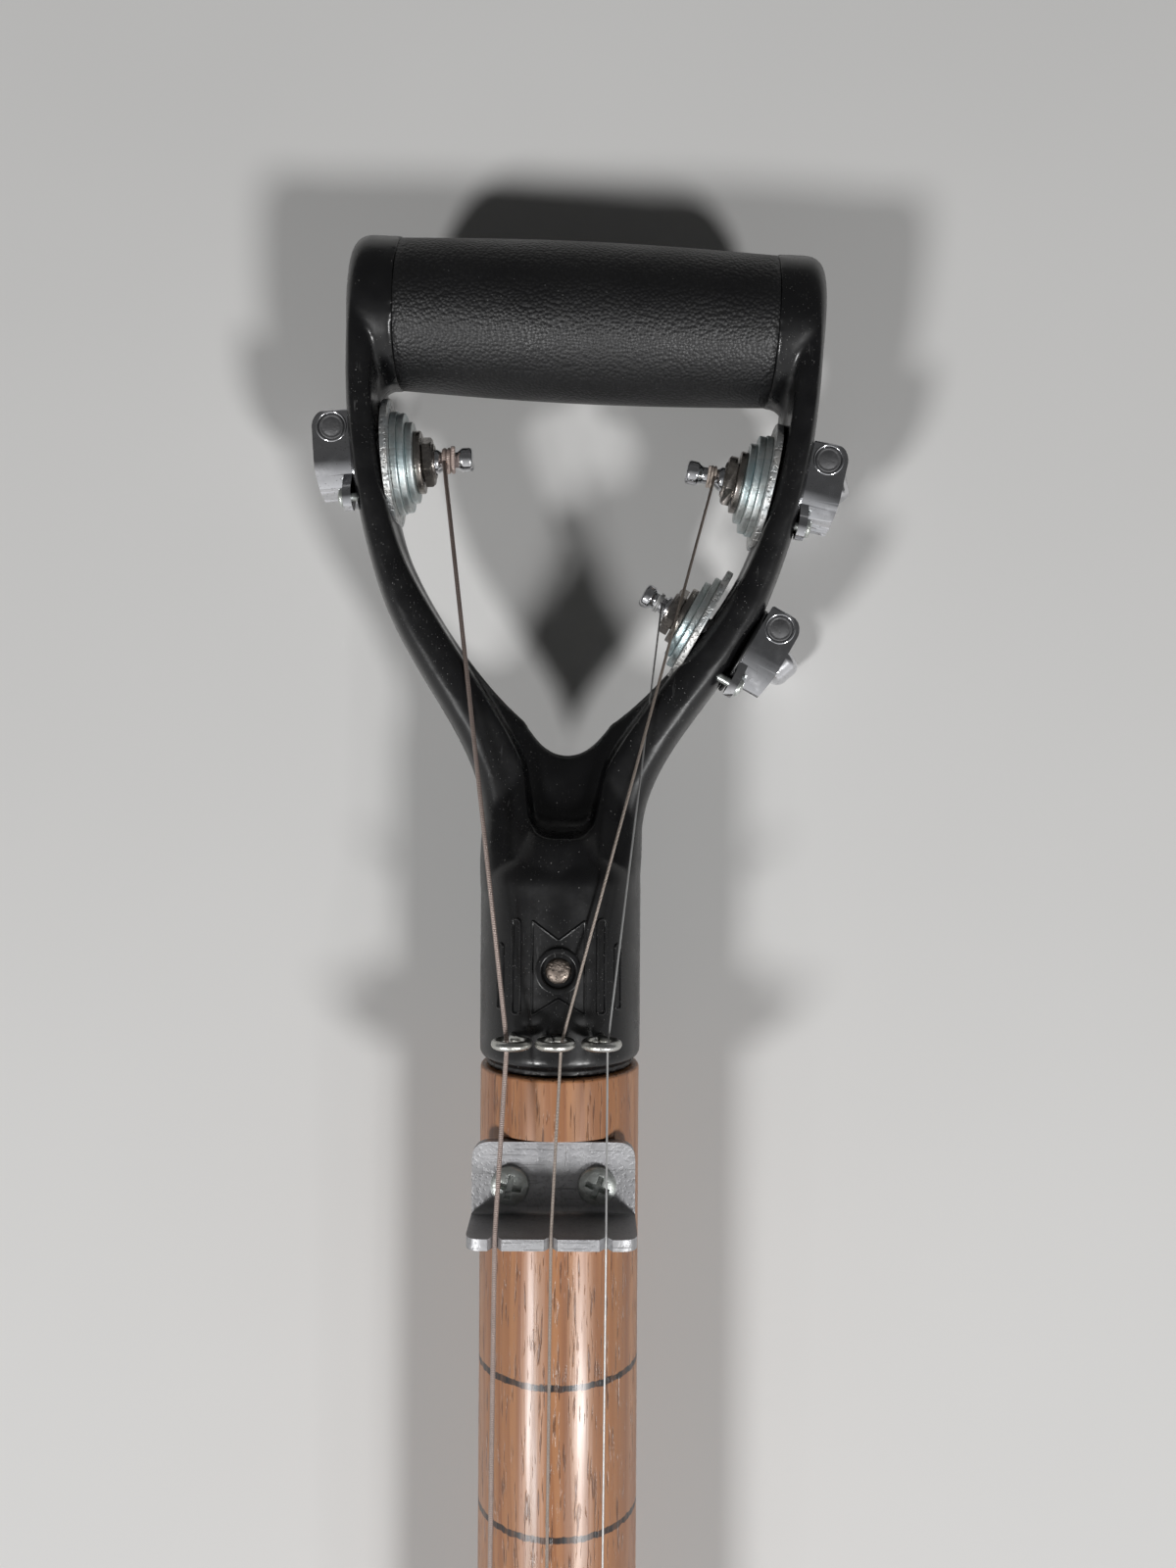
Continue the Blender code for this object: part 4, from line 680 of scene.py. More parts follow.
@dataclass(frozen=True)
class PlatedMetal(Finish):
    """Plated or bare metal: cloudy gloss, tinted streaks, and pits where it is rough."""

    colour: Triple
    tint: Triple
    gloss: float
    streaks: float
    pits: float = 0.0
    specks: float = 0.0
    scratches: float = 0.0
    metallic: float = 1.0
    dirt: Triple = (0.06, 0.055, 0.05)

    def paint(self, shade: Shade) -> None:
        """Streaks tint the metal, pits and scratches darken and dent it, specks lie on it."""
        base = shade.mix(shade.patches(self.streaks, 4.0, 0.4, 0.66), self.colour, self.tint)
        rough = shade.drift(340.0, 4.0, self.gloss - 0.05, self.gloss + 0.1)
        normal = shade.bump(shade.noise(240.0, 2.0), 0.06, 0.2)
        if self.scratches > 0.0:
            across = shade.patches(1800.0, 2.0, 0.62, 0.7, shade.stretched(0.03, 1.0, 0.4))
            lines = shade.math("MAXIMUM", across, shade.patches(1500.0, 2.0, 0.68, 0.74, shade.along(0.06)))
            base = shade.mix(lines, base, self.dirt, 0.4 * self.scratches)
            normal = shade.bump(lines, -0.35 * self.scratches, 0.08, normal)
        if self.pits > 0.0:
            dents = shade.patches(1100.0, 3.0, 0.5, 0.68)
            base = shade.mix(dents, base, self.dirt, 0.55 * self.pits)
            rough = shade.plus(rough, shade.times(dents, 0.2 * self.pits))
            normal = shade.bump(dents, -0.7 * self.pits, 0.25, normal)
        if self.specks > 0.0:
            dots = shade.specks(3000.0, 0.42, 3.0)
            base = shade.mix(dots, base, self.dirt, self.specks)
            rough = shade.plus(rough, shade.times(dots, 0.3))
        shade.surface(Base_Color=base, Roughness=rough, Normal=normal, Metallic=self.metallic)


@dataclass(frozen=True)
class WoundWire(Finish):
    """Wire wrapped round a core, or plain wire where the wrap is 0."""

    colour: Triple
    # Painted shade in the grooves between the turns of the wrap.
    groove: Triple = (0.16, 0.08, 0.05)
    wrap: float = 0.0
    tarnish: float = 0.7

    def paint(self, shade: Shade) -> None:
        """The wrap is a sine of the way along the wire, with painted shade in its grooves, and a little
        tarnish.
        """
        clouds = shade.span(shade.noise(260.0, 3.0), 0.35, 0.7, 0.0, 0.45)
        base = shade.mix(clouds, self.colour, tuple(self.tarnish * part for part in self.colour))
        normal = shade.bump(shade.noise(2600.0, 2.0), 0.1, 0.05)
        if self.wrap > 0.0:
            way = shade.node("ShaderNodeAttribute", {}, attribute_name=RUN).outputs["Fac"]
            wave = shade.math("SINE", shade.times(way, 2.0 * math.pi / self.wrap))
            # Painted shade where the sine of the wrap dips into its grooves.
            base = shade.mix(shade.span(wave, -0.2, -1.0), base, self.groove, 0.5)
            normal = shade.bump(wave, 0.5, 0.3 * self.wrap, normal)
        rough = shade.drift(700.0, 2.0, 0.32, 0.44)
        shade.surface(Base_Color=base, Roughness=rough, Normal=normal, Metallic=0.3)


@dataclass(frozen=True)
class BladeEnamel(Finish):
    """Black shovel enamel, worn to steel along the cutting edge."""

    colour: Triple = (0.024, 0.025, 0.027)
    chips: Triple = (0.2, 0.19, 0.18)
    steel: Triple = (0.4, 0.39, 0.38)
    rust: Triple = (0.16, 0.07, 0.035)
    worn_from: float = -700.0
    worn_to: float = -800.0

    def paint(self, shade: Shade) -> None:
        """Wear grows towards the point, broken up by clouds and by scratches along the blade."""
        near = shade.span(shade.axis("Y"), NECK_Y + self.worn_from * MM, NECK_Y + self.worn_to * MM)
        drag = shade.noise(300.0, 4.0, shade.along(0.08))
        worn = shade.span(shade.plus(shade.times(near, 0.75), shade.times(drag, 0.7)), 0.66, 0.8)
        stain = shade.span(shade.noise(70.0, 5.0), 0.58, 0.72, 0.0, 0.5)
        painted = shade.mix(shade.specks(420.0, 0.35, 5.0), self.colour, self.chips)
        base = shade.mix(worn, painted, shade.mix(stain, self.steel, self.rust))
        rough = shade.drift(180.0, 4.0, 0.3, 0.52)
        normal = shade.bump(shade.noise(420.0, 4.0), 0.2, 0.2)
        normal = shade.bump(worn, -0.4, 0.12, normal)
        shade.surface(Base_Color=base, Roughness=rough, Normal=normal, Metallic=worn)


@dataclass(frozen=True)
class PlainFloor(Finish):
    """Pale matt table top."""

    colour: Triple = (0.66, 0.655, 0.645)
    paler: float = 1.06

    def paint(self, shade: Shade) -> None:
        """A faint cloud keeps the surface from looking like paper."""
        pale = tuple(self.paler * part for part in self.colour)
        base = shade.mix(shade.drift(4.0, 3.0, 0.0, 1.0), self.colour, pale)
        shade.surface(Base_Color=base, Roughness=0.85)


MOULDING = BlackMoulding("dusty black moulding", "moulded_grip")
SHIM = BlackMoulding("black shim", "black_shim", gloss=0.38, parting=0.0)
SLEEVE = PebbledSleeve("pebbled sleeve", "grip_sleeve")
ASH = LacqueredAsh("lacquered ash", "ash_wood")
ENAMEL = BladeEnamel("worn enamel", "blade_paint")
FLOOR = PlainFloor("pale table", "")
ALUMINIUM = PlatedMetal("scratched aluminium", "aluminium_angle", (0.43, 0.43, 0.44), (0.37, 0.37, 0.385),
                        gloss=0.42, streaks=90.0, pits=0.25, scratches=0.8, metallic=0.72)
ZINC_WIRE = PlatedMetal("zinc wire", "zinc_wire", (0.6, 0.6, 0.58), (0.48, 0.48, 0.44),
                        gloss=0.3, streaks=300.0, pits=0.3)
ZINC = PlatedMetal("bright zinc", "zinc_washer", (0.66, 0.69, 0.68), (0.5, 0.61, 0.63),
                   gloss=0.36, streaks=130.0, pits=0.25, scratches=0.5, metallic=0.85)
PITTED_ZINC = PlatedMetal("pitted zinc", "zinc_washer", (0.66, 0.65, 0.63), (0.52, 0.55, 0.56),
                          gloss=0.4, streaks=200.0, pits=1.0, metallic=0.85)
NICKEL = PlatedMetal("dark nickel", "dark_nickel", (0.36, 0.33, 0.3), (0.27, 0.25, 0.24),
                     gloss=0.26, streaks=200.0, pits=0.2)
CHROME = PlatedMetal("speckled chrome", "chrome", (0.72, 0.72, 0.74), (0.6, 0.61, 0.64),
                     gloss=0.1, streaks=60.0, specks=0.85)
STEEL = PlatedMetal("zinc screw steel", "screw_steel", (0.6, 0.63, 0.61), (0.48, 0.5, 0.47),
                    gloss=0.34, streaks=420.0, pits=0.3, metallic=0.8)
RIVET = PlatedMetal("hammered rivet", "rivet_steel", (0.26, 0.22, 0.19), (0.17, 0.14, 0.12),
                    gloss=0.42, streaks=500.0, pits=0.9)
PLUG = PlatedMetal("dark plug", "dark_plug", (0.085, 0.085, 0.088), (0.11, 0.11, 0.113),
                   gloss=0.45, streaks=600.0, pits=0.3, metallic=0.3)
# The second colour of each wound wire is the painted shade in its grooves.
COPPER_WOUND = WoundWire("copper wound wire", "wound_string", (0.49, 0.39, 0.35), (0.2, 0.14, 0.12), 0.38)
BRONZE_WOUND = WoundWire("bronze wound wire", "wound_string", (0.47, 0.4, 0.35), (0.2, 0.15, 0.12), 0.3)
PLAIN_WIRE = WoundWire("plain steel wire", "plain_string", (0.5, 0.5, 0.495))


def add(name: str, mesh: Mesh, finish: Finish, body: str = INSTRUMENT) -> None:
    """Add one finished piece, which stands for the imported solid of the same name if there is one.

    Args:
        name: the piece's name.
        mesh: its mesh, in the world.
        finish: what it is made of.
        body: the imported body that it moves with.
    """
    mesh.name = name
    mesh.materials.clear()
    mesh.materials.append(finish.material())
    obj = linked(name + "_fine", mesh)
    nodes = [name] if name in frame["nodes"] else []
    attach(obj, body)
    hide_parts(*nodes)
    LOG.info("%s: %d faces on %s", obj.name, len(mesh.polygons), body)


@dataclass(frozen=True)
class PanScrew:
    """A pan-head screw with a cross recess, its head seated on z = 0 of its place."""

    shank: float
    length: float
    head: float
    height: float
    rim_share: float = 0.4
    cross_reach: float = 0.62
    cross_half: float = 0.15

    def mesh(self, place: Place, turn: float) -> Mesh:
        """Return the screw: a domed head, r = R cos a over a short rim, a pointed shank, a cross cut.

        Args:
            place: where the head's seat is, its Z out of the head.
            turn: how far round the recess stands, in radians.

        Returns:
            The screw's mesh.
        """
        a = quarter(9)[:-1]
        dome = joined(self.head * np.cos(a),
                      self.height * (self.rim_share + (1.0 - self.rim_share) * np.sin(a)))
        foot = ((0.0, -self.length), (self.shank, -self.length + 1.4 * self.shank), (self.shank, 0.0),
                (0.97 * self.head, 0.0), (self.head, 0.08 * self.height))
        profile = np.concatenate((foot, dome, ((0.0, self.height),)))
        body = mesh_of("screw", lathe(profile, 48).at(place))
        far, half = self.cross_reach * self.head, self.cross_half * self.head
        arm = np.array(((half, half), (half, far), (-half, far)))
        swapped = arm[:, ::-1]
        cross = np.concatenate((arm, swapped * (-1, 1), -arm, swapped * (1, -1)))
        recess = prism(cross, 0.15 * self.height, 1.5 * self.height).at(place.turned(turn))
        return shaped(body, [(Cut.AWAY, mesh_of("recess", recess))], edge=0.05 * self.head, segments=2,
                      sharp=50.0)


def rivet(shank: float, half: float, radius: float, height: float) -> Patch:
    """Return a rivet along Z with a head at each end: a flat seat, then a dome r = R cos^0.7 a."""
    a = quarter(10)
    dome = joined(radius * np.cos(a) ** 0.7, half + height * np.sin(a))
    dome[-1, 0] = 0.0
    upper = np.concatenate((((shank, half - 0.3), (shank, half)), dome))
    return lathe(np.concatenate((upper[::-1] * (1.0, -1.0), upper)), 48)


@dataclass(frozen=True)
class DGrip:
    """The moulded D-grip with its sleeve, its rivet and the relief on its socket."""

    half: float = 56.0
    crossbar: float = 178.0
    crotch: float = 74.0
    arm: float = 7.0
    socket: float = 19.2
    socket_top: float = 44.0
    dome: float = 12.0
    lip: float = 2.2
    end_radius: float = 17.6
    end_round: float = 4.8
    end_power: float = 5.0
    collar: float = 4.8
    collar_radius: float = 17.4
    fillet: float = 3.0
    step_radius: float = 17.6
    step_top: float = LIP_RISE + 0.5
    core: float = 6.0
    sleeve_bore: float = 11.3
    sleeve_end: float = 17.3
    sleeve_mid: float = 18.35
    sleeve_edge: float = 0.15
    scoop: float = 19.5
    rim_in: float = 0.7
    stations: tuple[float, ...] = (0.0, 0.25, 0.5, 1.0, 2.0, 3.0)
    depths: tuple[float, ...] = (19.0, 17.0, 13.4, 8.4, 12.0, 16.2)
    edges: tuple[float, ...] = (17.9, 15.9, 12.3, 7.6, 9.6, 14.6)
    crests: tuple[float, ...] = (0.4, 0.32, 0.25, 0.2, 0.34, 0.4)
    rivet_rise: float = 24.9
    rivet_shank: float = 2.4
    rivet_head: float = 3.0
    rivet_dome: float = 1.3
    boss: float = 5.1
    boss_height: float = 1.0
    line: float = 0.34
    voxel: float = 0.65
    passes: int = 3

    def contours(self, t: np.ndarray) -> tuple[np.ndarray, np.ndarray]:
        """Return the inner and outer edge of the right arm: three cubic curves from the crotch up."""
        w, c, k, a, s = self.half, self.crossbar, self.crotch, self.arm, self.socket
        crotch, inner_hip = (10.5, k + 8.0), (w - a - 10.0, c - 59.8)
        outer_web, outer_hip = (s, k - 17.0), (w - 8.8, c - 64.0)
        inner = (((0.0, k), (4.5, k), (7.5, k + 3.5), crotch),
                 (crotch, (19.5, k + 14.5), (w - a - 16.6, c - 73.3), inner_hip),
                 (inner_hip, (w - a - 3.9, c - 46.5), (w - a, c - 27.0), (w - a, c)))
        outer = (((0.0, k - 46.0), (16.0, k - 46.0), (s + 1.2, k - 42.0), outer_web),
                 (outer_web, (s + 0.9, k + 3.0), (w - 16.3, c - 87.0), outer_hip),
                 (outer_hip, (w - 3.0, c - 47.0), (w + 0.7, c - 30.0), (w, c)))
        inner_edge, outer_edge = (np.concatenate([bezier(curve, t) for curve in curves])
                                  for curves in (inner, outer))
        return inner_edge, outer_edge

    def filleted(self, inner: np.ndarray) -> np.ndarray:
        """Return the inner edge led into the crossbar's collar by a quarter of an ellipse."""
        start = self.crossbar - self.collar_radius - self.fillet
        rise = np.clip((inner[:, 1] - start) / self.fillet, 0.0, 1.0)
        return inner - joined(self.collar * (1.0 - np.sqrt(1.0 - rise ** 2)), 0.0)

    def rim(self, t: np.ndarray, inner: np.ndarray, outer: np.ndarray) -> np.ndarray:
        """Return the crisp edge of the scoop: a U below the crotch, then a line close to the inner edge.

        Args:
            t: the parameter along each of the three curves.
            inner: points of the inner edge.
            outer: points of the outer edge.

        Returns:
            As many points as the edges have.
        """
        k = self.crotch
        along = outer - inner
        beside = inner + self.rim_in * along / np.linalg.norm(along, axis=1, keepdims=True)
        hip = beside[2 * len(t)]
        turn = (9.2, k - 5.0)
        bowl = ((0.0, k - self.scoop), (8.6, k - self.scoop - 0.7), (7.6, k - 15.5), turn)
        side = (turn, (12.5, k + 6.5), tuple(hip - (6.3, 13.5)), tuple(hip))
        return np.concatenate((bezier(bowl, t), bezier(side, t), beside[2 * len(t):]))

    def fork(self) -> Patch:
        """Return both arms and their crotch as rings of points along the inner edge, rim and outer edge.

        From inner edge to rim a ring follows the scoop, z = edge (0.3 sqrt(1 - (1 - u)^4) + 0.7 u^6) at the
        share u of the way: a rounded lip, a nearly level floor and a steep wall. It rises to the crest as a
        quarter of an ellipse, and closes over the outer edge as half of another, squared by a root of its
        cosine.
        """
        t = np.linspace(0.0, 1.0, 80, endpoint=False)
        inner, outer = self.contours(t)
        rim = self.rim(t, inner, outer)
        inner = self.filleted(inner)
        station = np.concatenate((t, t + 1.0, t + 2.0))
        depth, edge, share = (np.interp(station, self.stations, values)[:, None]
                              for values in (self.depths, self.edges, self.crests))
        crest = rim + share * (outer - rim)
        s = np.linspace(-1.0, 1.0, 33)[None, :]
        u = 0.5 - 0.5 * np.cos(np.pi * s)
        face = np.sign(s) * (0.3 * np.sqrt(1.0 - (1.0 - u) ** 4) + 0.7 * u ** 6)
        a = quarter(9)[None, 1:]
        b = np.linspace(0.5 * np.pi, -0.5 * np.pi, 25)[None, 1:-1]
        scooped = inner[:, None] + u[..., None] * (rim - inner)[:, None]
        risen = rim[:, None] + (1.0 - np.cos(a))[..., None] * (crest - rim)[:, None]
        back = crest[:, None] + np.sqrt(np.cos(b))[..., None] * (outer - crest)[:, None]
        rise_z = edge + (depth - edge) * np.sin(a)
        flat = np.concatenate((scooped, risen, back, risen[:, ::-1]), axis=1)
        z = np.concatenate((edge * face, rise_z, depth * np.sin(b), -rise_z[:, ::-1]), axis=1)
        right = np.concatenate((flat, z[..., None]), axis=-1)
        left = right[:0:-1] * (-1.0, 1.0, 1.0)
        return skin(np.concatenate((left, right)))

    def socket_body(self) -> Patch:
        """Return the socket as a turned body: a step on the wood, a rounded lip, a wall and a domed top."""
        a = quarter(17)
        lip = arc((self.socket - self.lip, LIP_RISE + self.lip), self.lip, -90.0, 0.0, 16)
        wall = joined(self.socket, np.linspace(LIP_RISE + self.lip, self.socket_top, 12))
        dome = joined(self.socket * np.cos(a), self.socket_top + self.dome * np.sin(a))
        dome[-1, 0] = 0.0
        foot = LIP_RISE - Shaft.shoulder_gap
        step = ((0.0, foot), (self.step_radius, foot), (self.step_radius, self.step_top))
        return lathe(np.concatenate((step, lip[lip[:, 1] > self.step_top], wall[1:-1], dome)), 128)

    def crossbar_body(self) -> Patch:
        """Return the crossbar: a thin core, two collars, and ends that are flat above and round in front.

        A ring is an ellipse. Along an end, q from 0 to 1, its height in front is R (1 - q^5)^(1 / 5),
        and its reach across keeps R until a quarter round of the end's own radius.
        """
        step = self.half - self.arm - self.collar - 0.1
        start = step + 0.2
        out = start + (self.half - start) * np.sin(quarter(25))
        share = (out - out[0]) / (out[-1] - out[0])
        past = np.clip(out - self.half + self.end_round, 0.0, self.end_round)
        across = self.end_radius - self.end_round + np.sqrt(self.end_round ** 2 - past ** 2)
        fall = 1.0 - np.minimum(share, 0.999) ** self.end_power
        front = self.collar_radius * fall ** (1.0 / self.end_power)
        collar = ((self.core, self.core, step), (self.collar_radius, self.collar_radius, step))
        rings = np.concatenate((collar, joined(across, front, out)))
        rings = np.concatenate((rings[::-1] * (1.0, 1.0, -1.0), rings))[:, None]
        a = circle_angles(128)
        return skin(joined(rings[..., 0] * np.cos(a), rings[..., 1] * np.sin(a), rings[..., 2]))

    def relief(self) -> list[Patch]:
        """Return the raised lines on the socket: a bow-tie round the rivet and ribs beside it.

        Each line is a thin tube along a flat outline laid on the socket, z = sqrt(R^2 - x^2).
        """
        bow = ((6.0, 11.2), (0.0, 6.8), (-6.0, 11.2), (-6.0, -10.2), (0.0, -6.3), (6.0, -10.2))
        tie = soft_corners(bow, 0.5)
        rib = soft_corners(rectangle(8.8, 10.6, -10.2, 11.4), 0.85)
        outer = soft_corners(rectangle(12.9, 14.2, -9.5, 5.4), 0.6)
        lines = []
        for outline in (tie, rib, rib * (-1, 1), outer, outer * (-1, 1)):
            way = np.concatenate((outline, outline[:2]))
            fine = np.linspace(0.0, len(way) - 1.0, 8 * len(way))
            x, y = (np.interp(fine, np.arange(len(way)), values) for values in way.T)
            path = joined(x, self.rivet_rise + y, np.sqrt(self.socket ** 2 - x ** 2))
            lines.append(tube(path, self.line, 8, (0.0, 0.0, 1.0)))
        return lines

    def boss_ring(self) -> Patch:
        """Return the raised ring round the rivet, its rims rounded."""
        section = rectangle(self.rivet_head + 0.9, self.boss + 0.2, self.socket - 1.2,
                            self.socket + self.boss_height)
        return turned_ring(soft_corners(section, 0.35))

    def sleeve_body(self) -> Patch:
        """Return the sleeve, its radius swelling to the middle with the cosine of the way along it."""
        half = self.half - self.arm - self.collar
        h = np.linspace(-1.0, 1.0, 41)
        swell = self.sleeve_end + (self.sleeve_mid - self.sleeve_end) * np.cos(0.5 * np.pi * h)
        barrel = joined(swell, h * (half - self.sleeve_edge))
        end = np.array(((self.sleeve_end - self.sleeve_edge, half), (self.sleeve_bore, half)))
        return turned_ring(np.concatenate((end[::-1] * (1.0, -1.0), barrel, end)), 128)

    def build(self) -> None:
        """Make the moulding, its relief, the sleeve and the rivet."""
        bar = GRIP.shifted(0.0, self.crossbar, 0.0).facing(Heading.OUT)
        bodies = (self.fork().at(GRIP), self.socket_body().at(SOCKET.facing(Heading.ALONG)),
                  self.crossbar_body().at(bar))
        add("d_grip", fused(mesh_of("moulding", *bodies), self.voxel, self.passes), MOULDING)
        seat = SOCKET.shifted(0.0, self.rivet_rise, 0.0)
        lines = [line.at(SOCKET) for line in self.relief()]
        rings = [self.boss_ring().at(seat), self.boss_ring().at(seat.facing(Heading.DOWN))]
        add("socket_relief", mesh_of("relief", *lines, *rings), MOULDING)
        add("grip_sleeve", mesh_of("sleeve", self.sleeve_body().at(bar)), SLEEVE)
        half = self.socket + self.boss_height - self.rivet_dome
        pin = rivet(self.rivet_shank, half, self.rivet_head, self.rivet_dome)
        add("handle_rivet", mesh_of("rivet", pin.at(seat)), RIVET)


@dataclass(frozen=True)
class Shaft:
    """The turned ash shaft with its tenon, its tapered tongue and the nut's flat seat."""

    radius: float = 19.0
    tenon: float = 15.0
    tenon_length: float = 50.0
    tenon_chamfer: float = 2.0
    tongue: float = 16.7
    tongue_top: float = SHAFT_MOUTH + 0.3
    tongue_length: float = 108.0
    tongue_taper: float = 15.0
    point: float = 30.0
    point_radius: float = 10.0
    notch_floor: float = 14.0
    notch: tuple[float, float] = (-0.6, 19.3)
    shoulder_gap: float = 1.6
    shoulder_round: float = 0.8

    def build(self) -> None:
        """Make the shaft: one turned profile, less a box over the nut's seat."""
        shoulder = SOCKET_END - self.shoulder_gap
        top = SOCKET_START + self.tenon_length
        tip = SHAFT_MOUTH - self.tongue_length
        edge = arc((self.radius - self.shoulder_round, shoulder - self.shoulder_round),
                   self.shoulder_round, 0.0, 90.0, 6)
        below = ((0.0, tip - self.point), (self.point_radius, tip - self.point), (self.tongue, tip),
                 (self.tongue, self.tongue_top))
        taper = np.linspace(0.0, 1.0, 9)[1:]
        swell = joined(self.tongue + (self.radius - self.tongue) * smooth_step(taper, 0.0, 1.0),
                       self.tongue_top + self.tongue_taper * taper)
        wall = joined(self.radius, np.linspace(SHAFT_MOUTH + self.tongue_taper + 4.0, shoulder - 2.0, 40))
        above = ((self.tenon, shoulder), (self.tenon, top - self.tenon_chamfer),
                 (self.tenon - self.tenon_chamfer, top), (0.0, top))
        profile = np.concatenate((below, swell, wall, edge, above))
        wood = mesh_of("shaft", lathe(profile, 128).at(NECK.facing(Heading.ALONG)))
        reach = self.radius + 5.0
        seat = prism(rectangle(-reach, reach, *self.notch), self.notch_floor, reach)
        cuts = [(Cut.AWAY, mesh_of("notch", seat.at(NECK)))]
        add("shaft", shaped(wood, cuts, edge=0.25, segments=2, sharp=50.0), ASH)


@dataclass(frozen=True)
class AngleBar:
    """A piece of aluminium angle that carries the strings, with the two screws that hold it."""

    name: str
    middle: float
    back: float
    seat: float
    length: float
    foot: float
    upright: float
    side: int
    strings: tuple[float, ...]
    string_height: float
    screw_spacing: float
    screw_in: float
    screw_length: float
    wall: float = 2.5
    cove: float = 1.6
    heel_corner: float = 0.3
    foot_corner: float = 4.2
    top_corner: float = 3.6
    flare: float = 1.9

    def plate(self, reach: float, corner: float) -> np.ndarray:
        """Return the outline of one leg, from the heel out to its rounded corners."""
        half = 0.5 * self.length
        return soft_corners(rectangle(-half, half, 0.0, reach),
                            (self.heel_corner, self.heel_corner, corner, corner))

    def cuts(self, place: Place) -> list[tuple[Cut, Mesh]]:
        """Return the upright, the cove in the corner, and the flared notches of the strings."""
        inset = 0.5 * self.length - 0.5
        upright = prism(self.plate(self.upright, self.top_corner), 0.0, self.wall).reordered(0, 2, 1)
        low, high = self.wall - 1.0, self.wall + self.cove
        hollow = arc((high, high), self.cove, 270.0, 180.0, 8)
        corner = np.concatenate((((low, low), (high, low)), hollow, ((low, high),)))
        bodies = [(Cut.JOIN, upright), (Cut.JOIN, prism(corner, -inset, inset).reordered(2, 0, 1))]
        for x, gauge in zip(np.subtract(self.strings, self.middle), Gauge):
            radius = 0.5 * gauge.value + 0.08
            groove = arc((x, self.string_height - self.seat), radius, 190.0, 350.0, 10)
            mouth = ((x + self.flare, self.upright + 0.6), (x - self.flare, self.upright + 0.6))
            notch = prism(np.concatenate((groove, mouth)), -2.0, self.wall + 2.0)
            bodies.append((Cut.AWAY, notch.reordered(0, 2, 1)))
        turn = (1.0, self.side, 1.0)
        return [(kind, mesh_of("cut", Patch(body.points * turn, body.faces).at(place)))
                for kind, body in bodies]

    def build(self) -> None:
        """Make the angle and its screws."""
        place = NECK.shifted(self.middle, self.back, self.seat)
        foot = prism(self.plate(self.foot, self.foot_corner) * (1.0, self.side), 0.0, self.wall)
        angle = shaped(mesh_of("foot", foot.at(place)), self.cuts(place), edge=0.32, segments=3, sharp=34.0)
        add(self.name + "_angle", angle, ALUMINIUM)
        screw = PanScrew(shank=2.0, length=self.screw_length, head=4.4, height=2.4)
        for hand, label in ((-1, "left"), (1, "right")):
            spot = place.shifted(0.5 * hand * self.screw_spacing, self.side * self.screw_in, self.wall + 0.05)
            add(f"{self.name}_screw_{label}", screw.mesh(spot, 0.5 + 0.7 * hand), STEEL)


@dataclass(frozen=True)
class ScrewEyes:
    """The three zinc screw eyes that hold the strings down behind the nut."""

    places: tuple[float, ...] = (-10.2, -0.5, 9.7)
    along: float = SOCKET_START + 9.4
    ring_height: float = 23.7
    ring: float = 3.55
    wire: float = 1.05
    shank_end: float = 5.0

    def build(self) -> None:
        """Make each eye as one bent wire: a shank that turns into an almost closed ring."""
        a = np.radians(np.linspace(-62.0, 252.0, 60))
        loop = joined(self.ring * np.cos(a), 0.0, self.ring_height + self.ring * np.sin(a))
        foot = self.ring_height - self.ring
        shank = ((0.0, 0.0, self.shank_end), (0.0, 0.0, foot - 2.0), (0.05, 0.0, foot - 1.2),
                 (0.5, 0.0, foot - 0.35))
        wire = tube(np.concatenate((shank, loop)), self.wire, 20, (0.0, 1.0, 0.0))
        for x, label in zip(self.places, ("left", "middle", "right")):
            add("screw_eye_" + label, mesh_of("eye", wire.at(NECK.shifted(x, self.along, 0.0))), ZINC_WIRE)


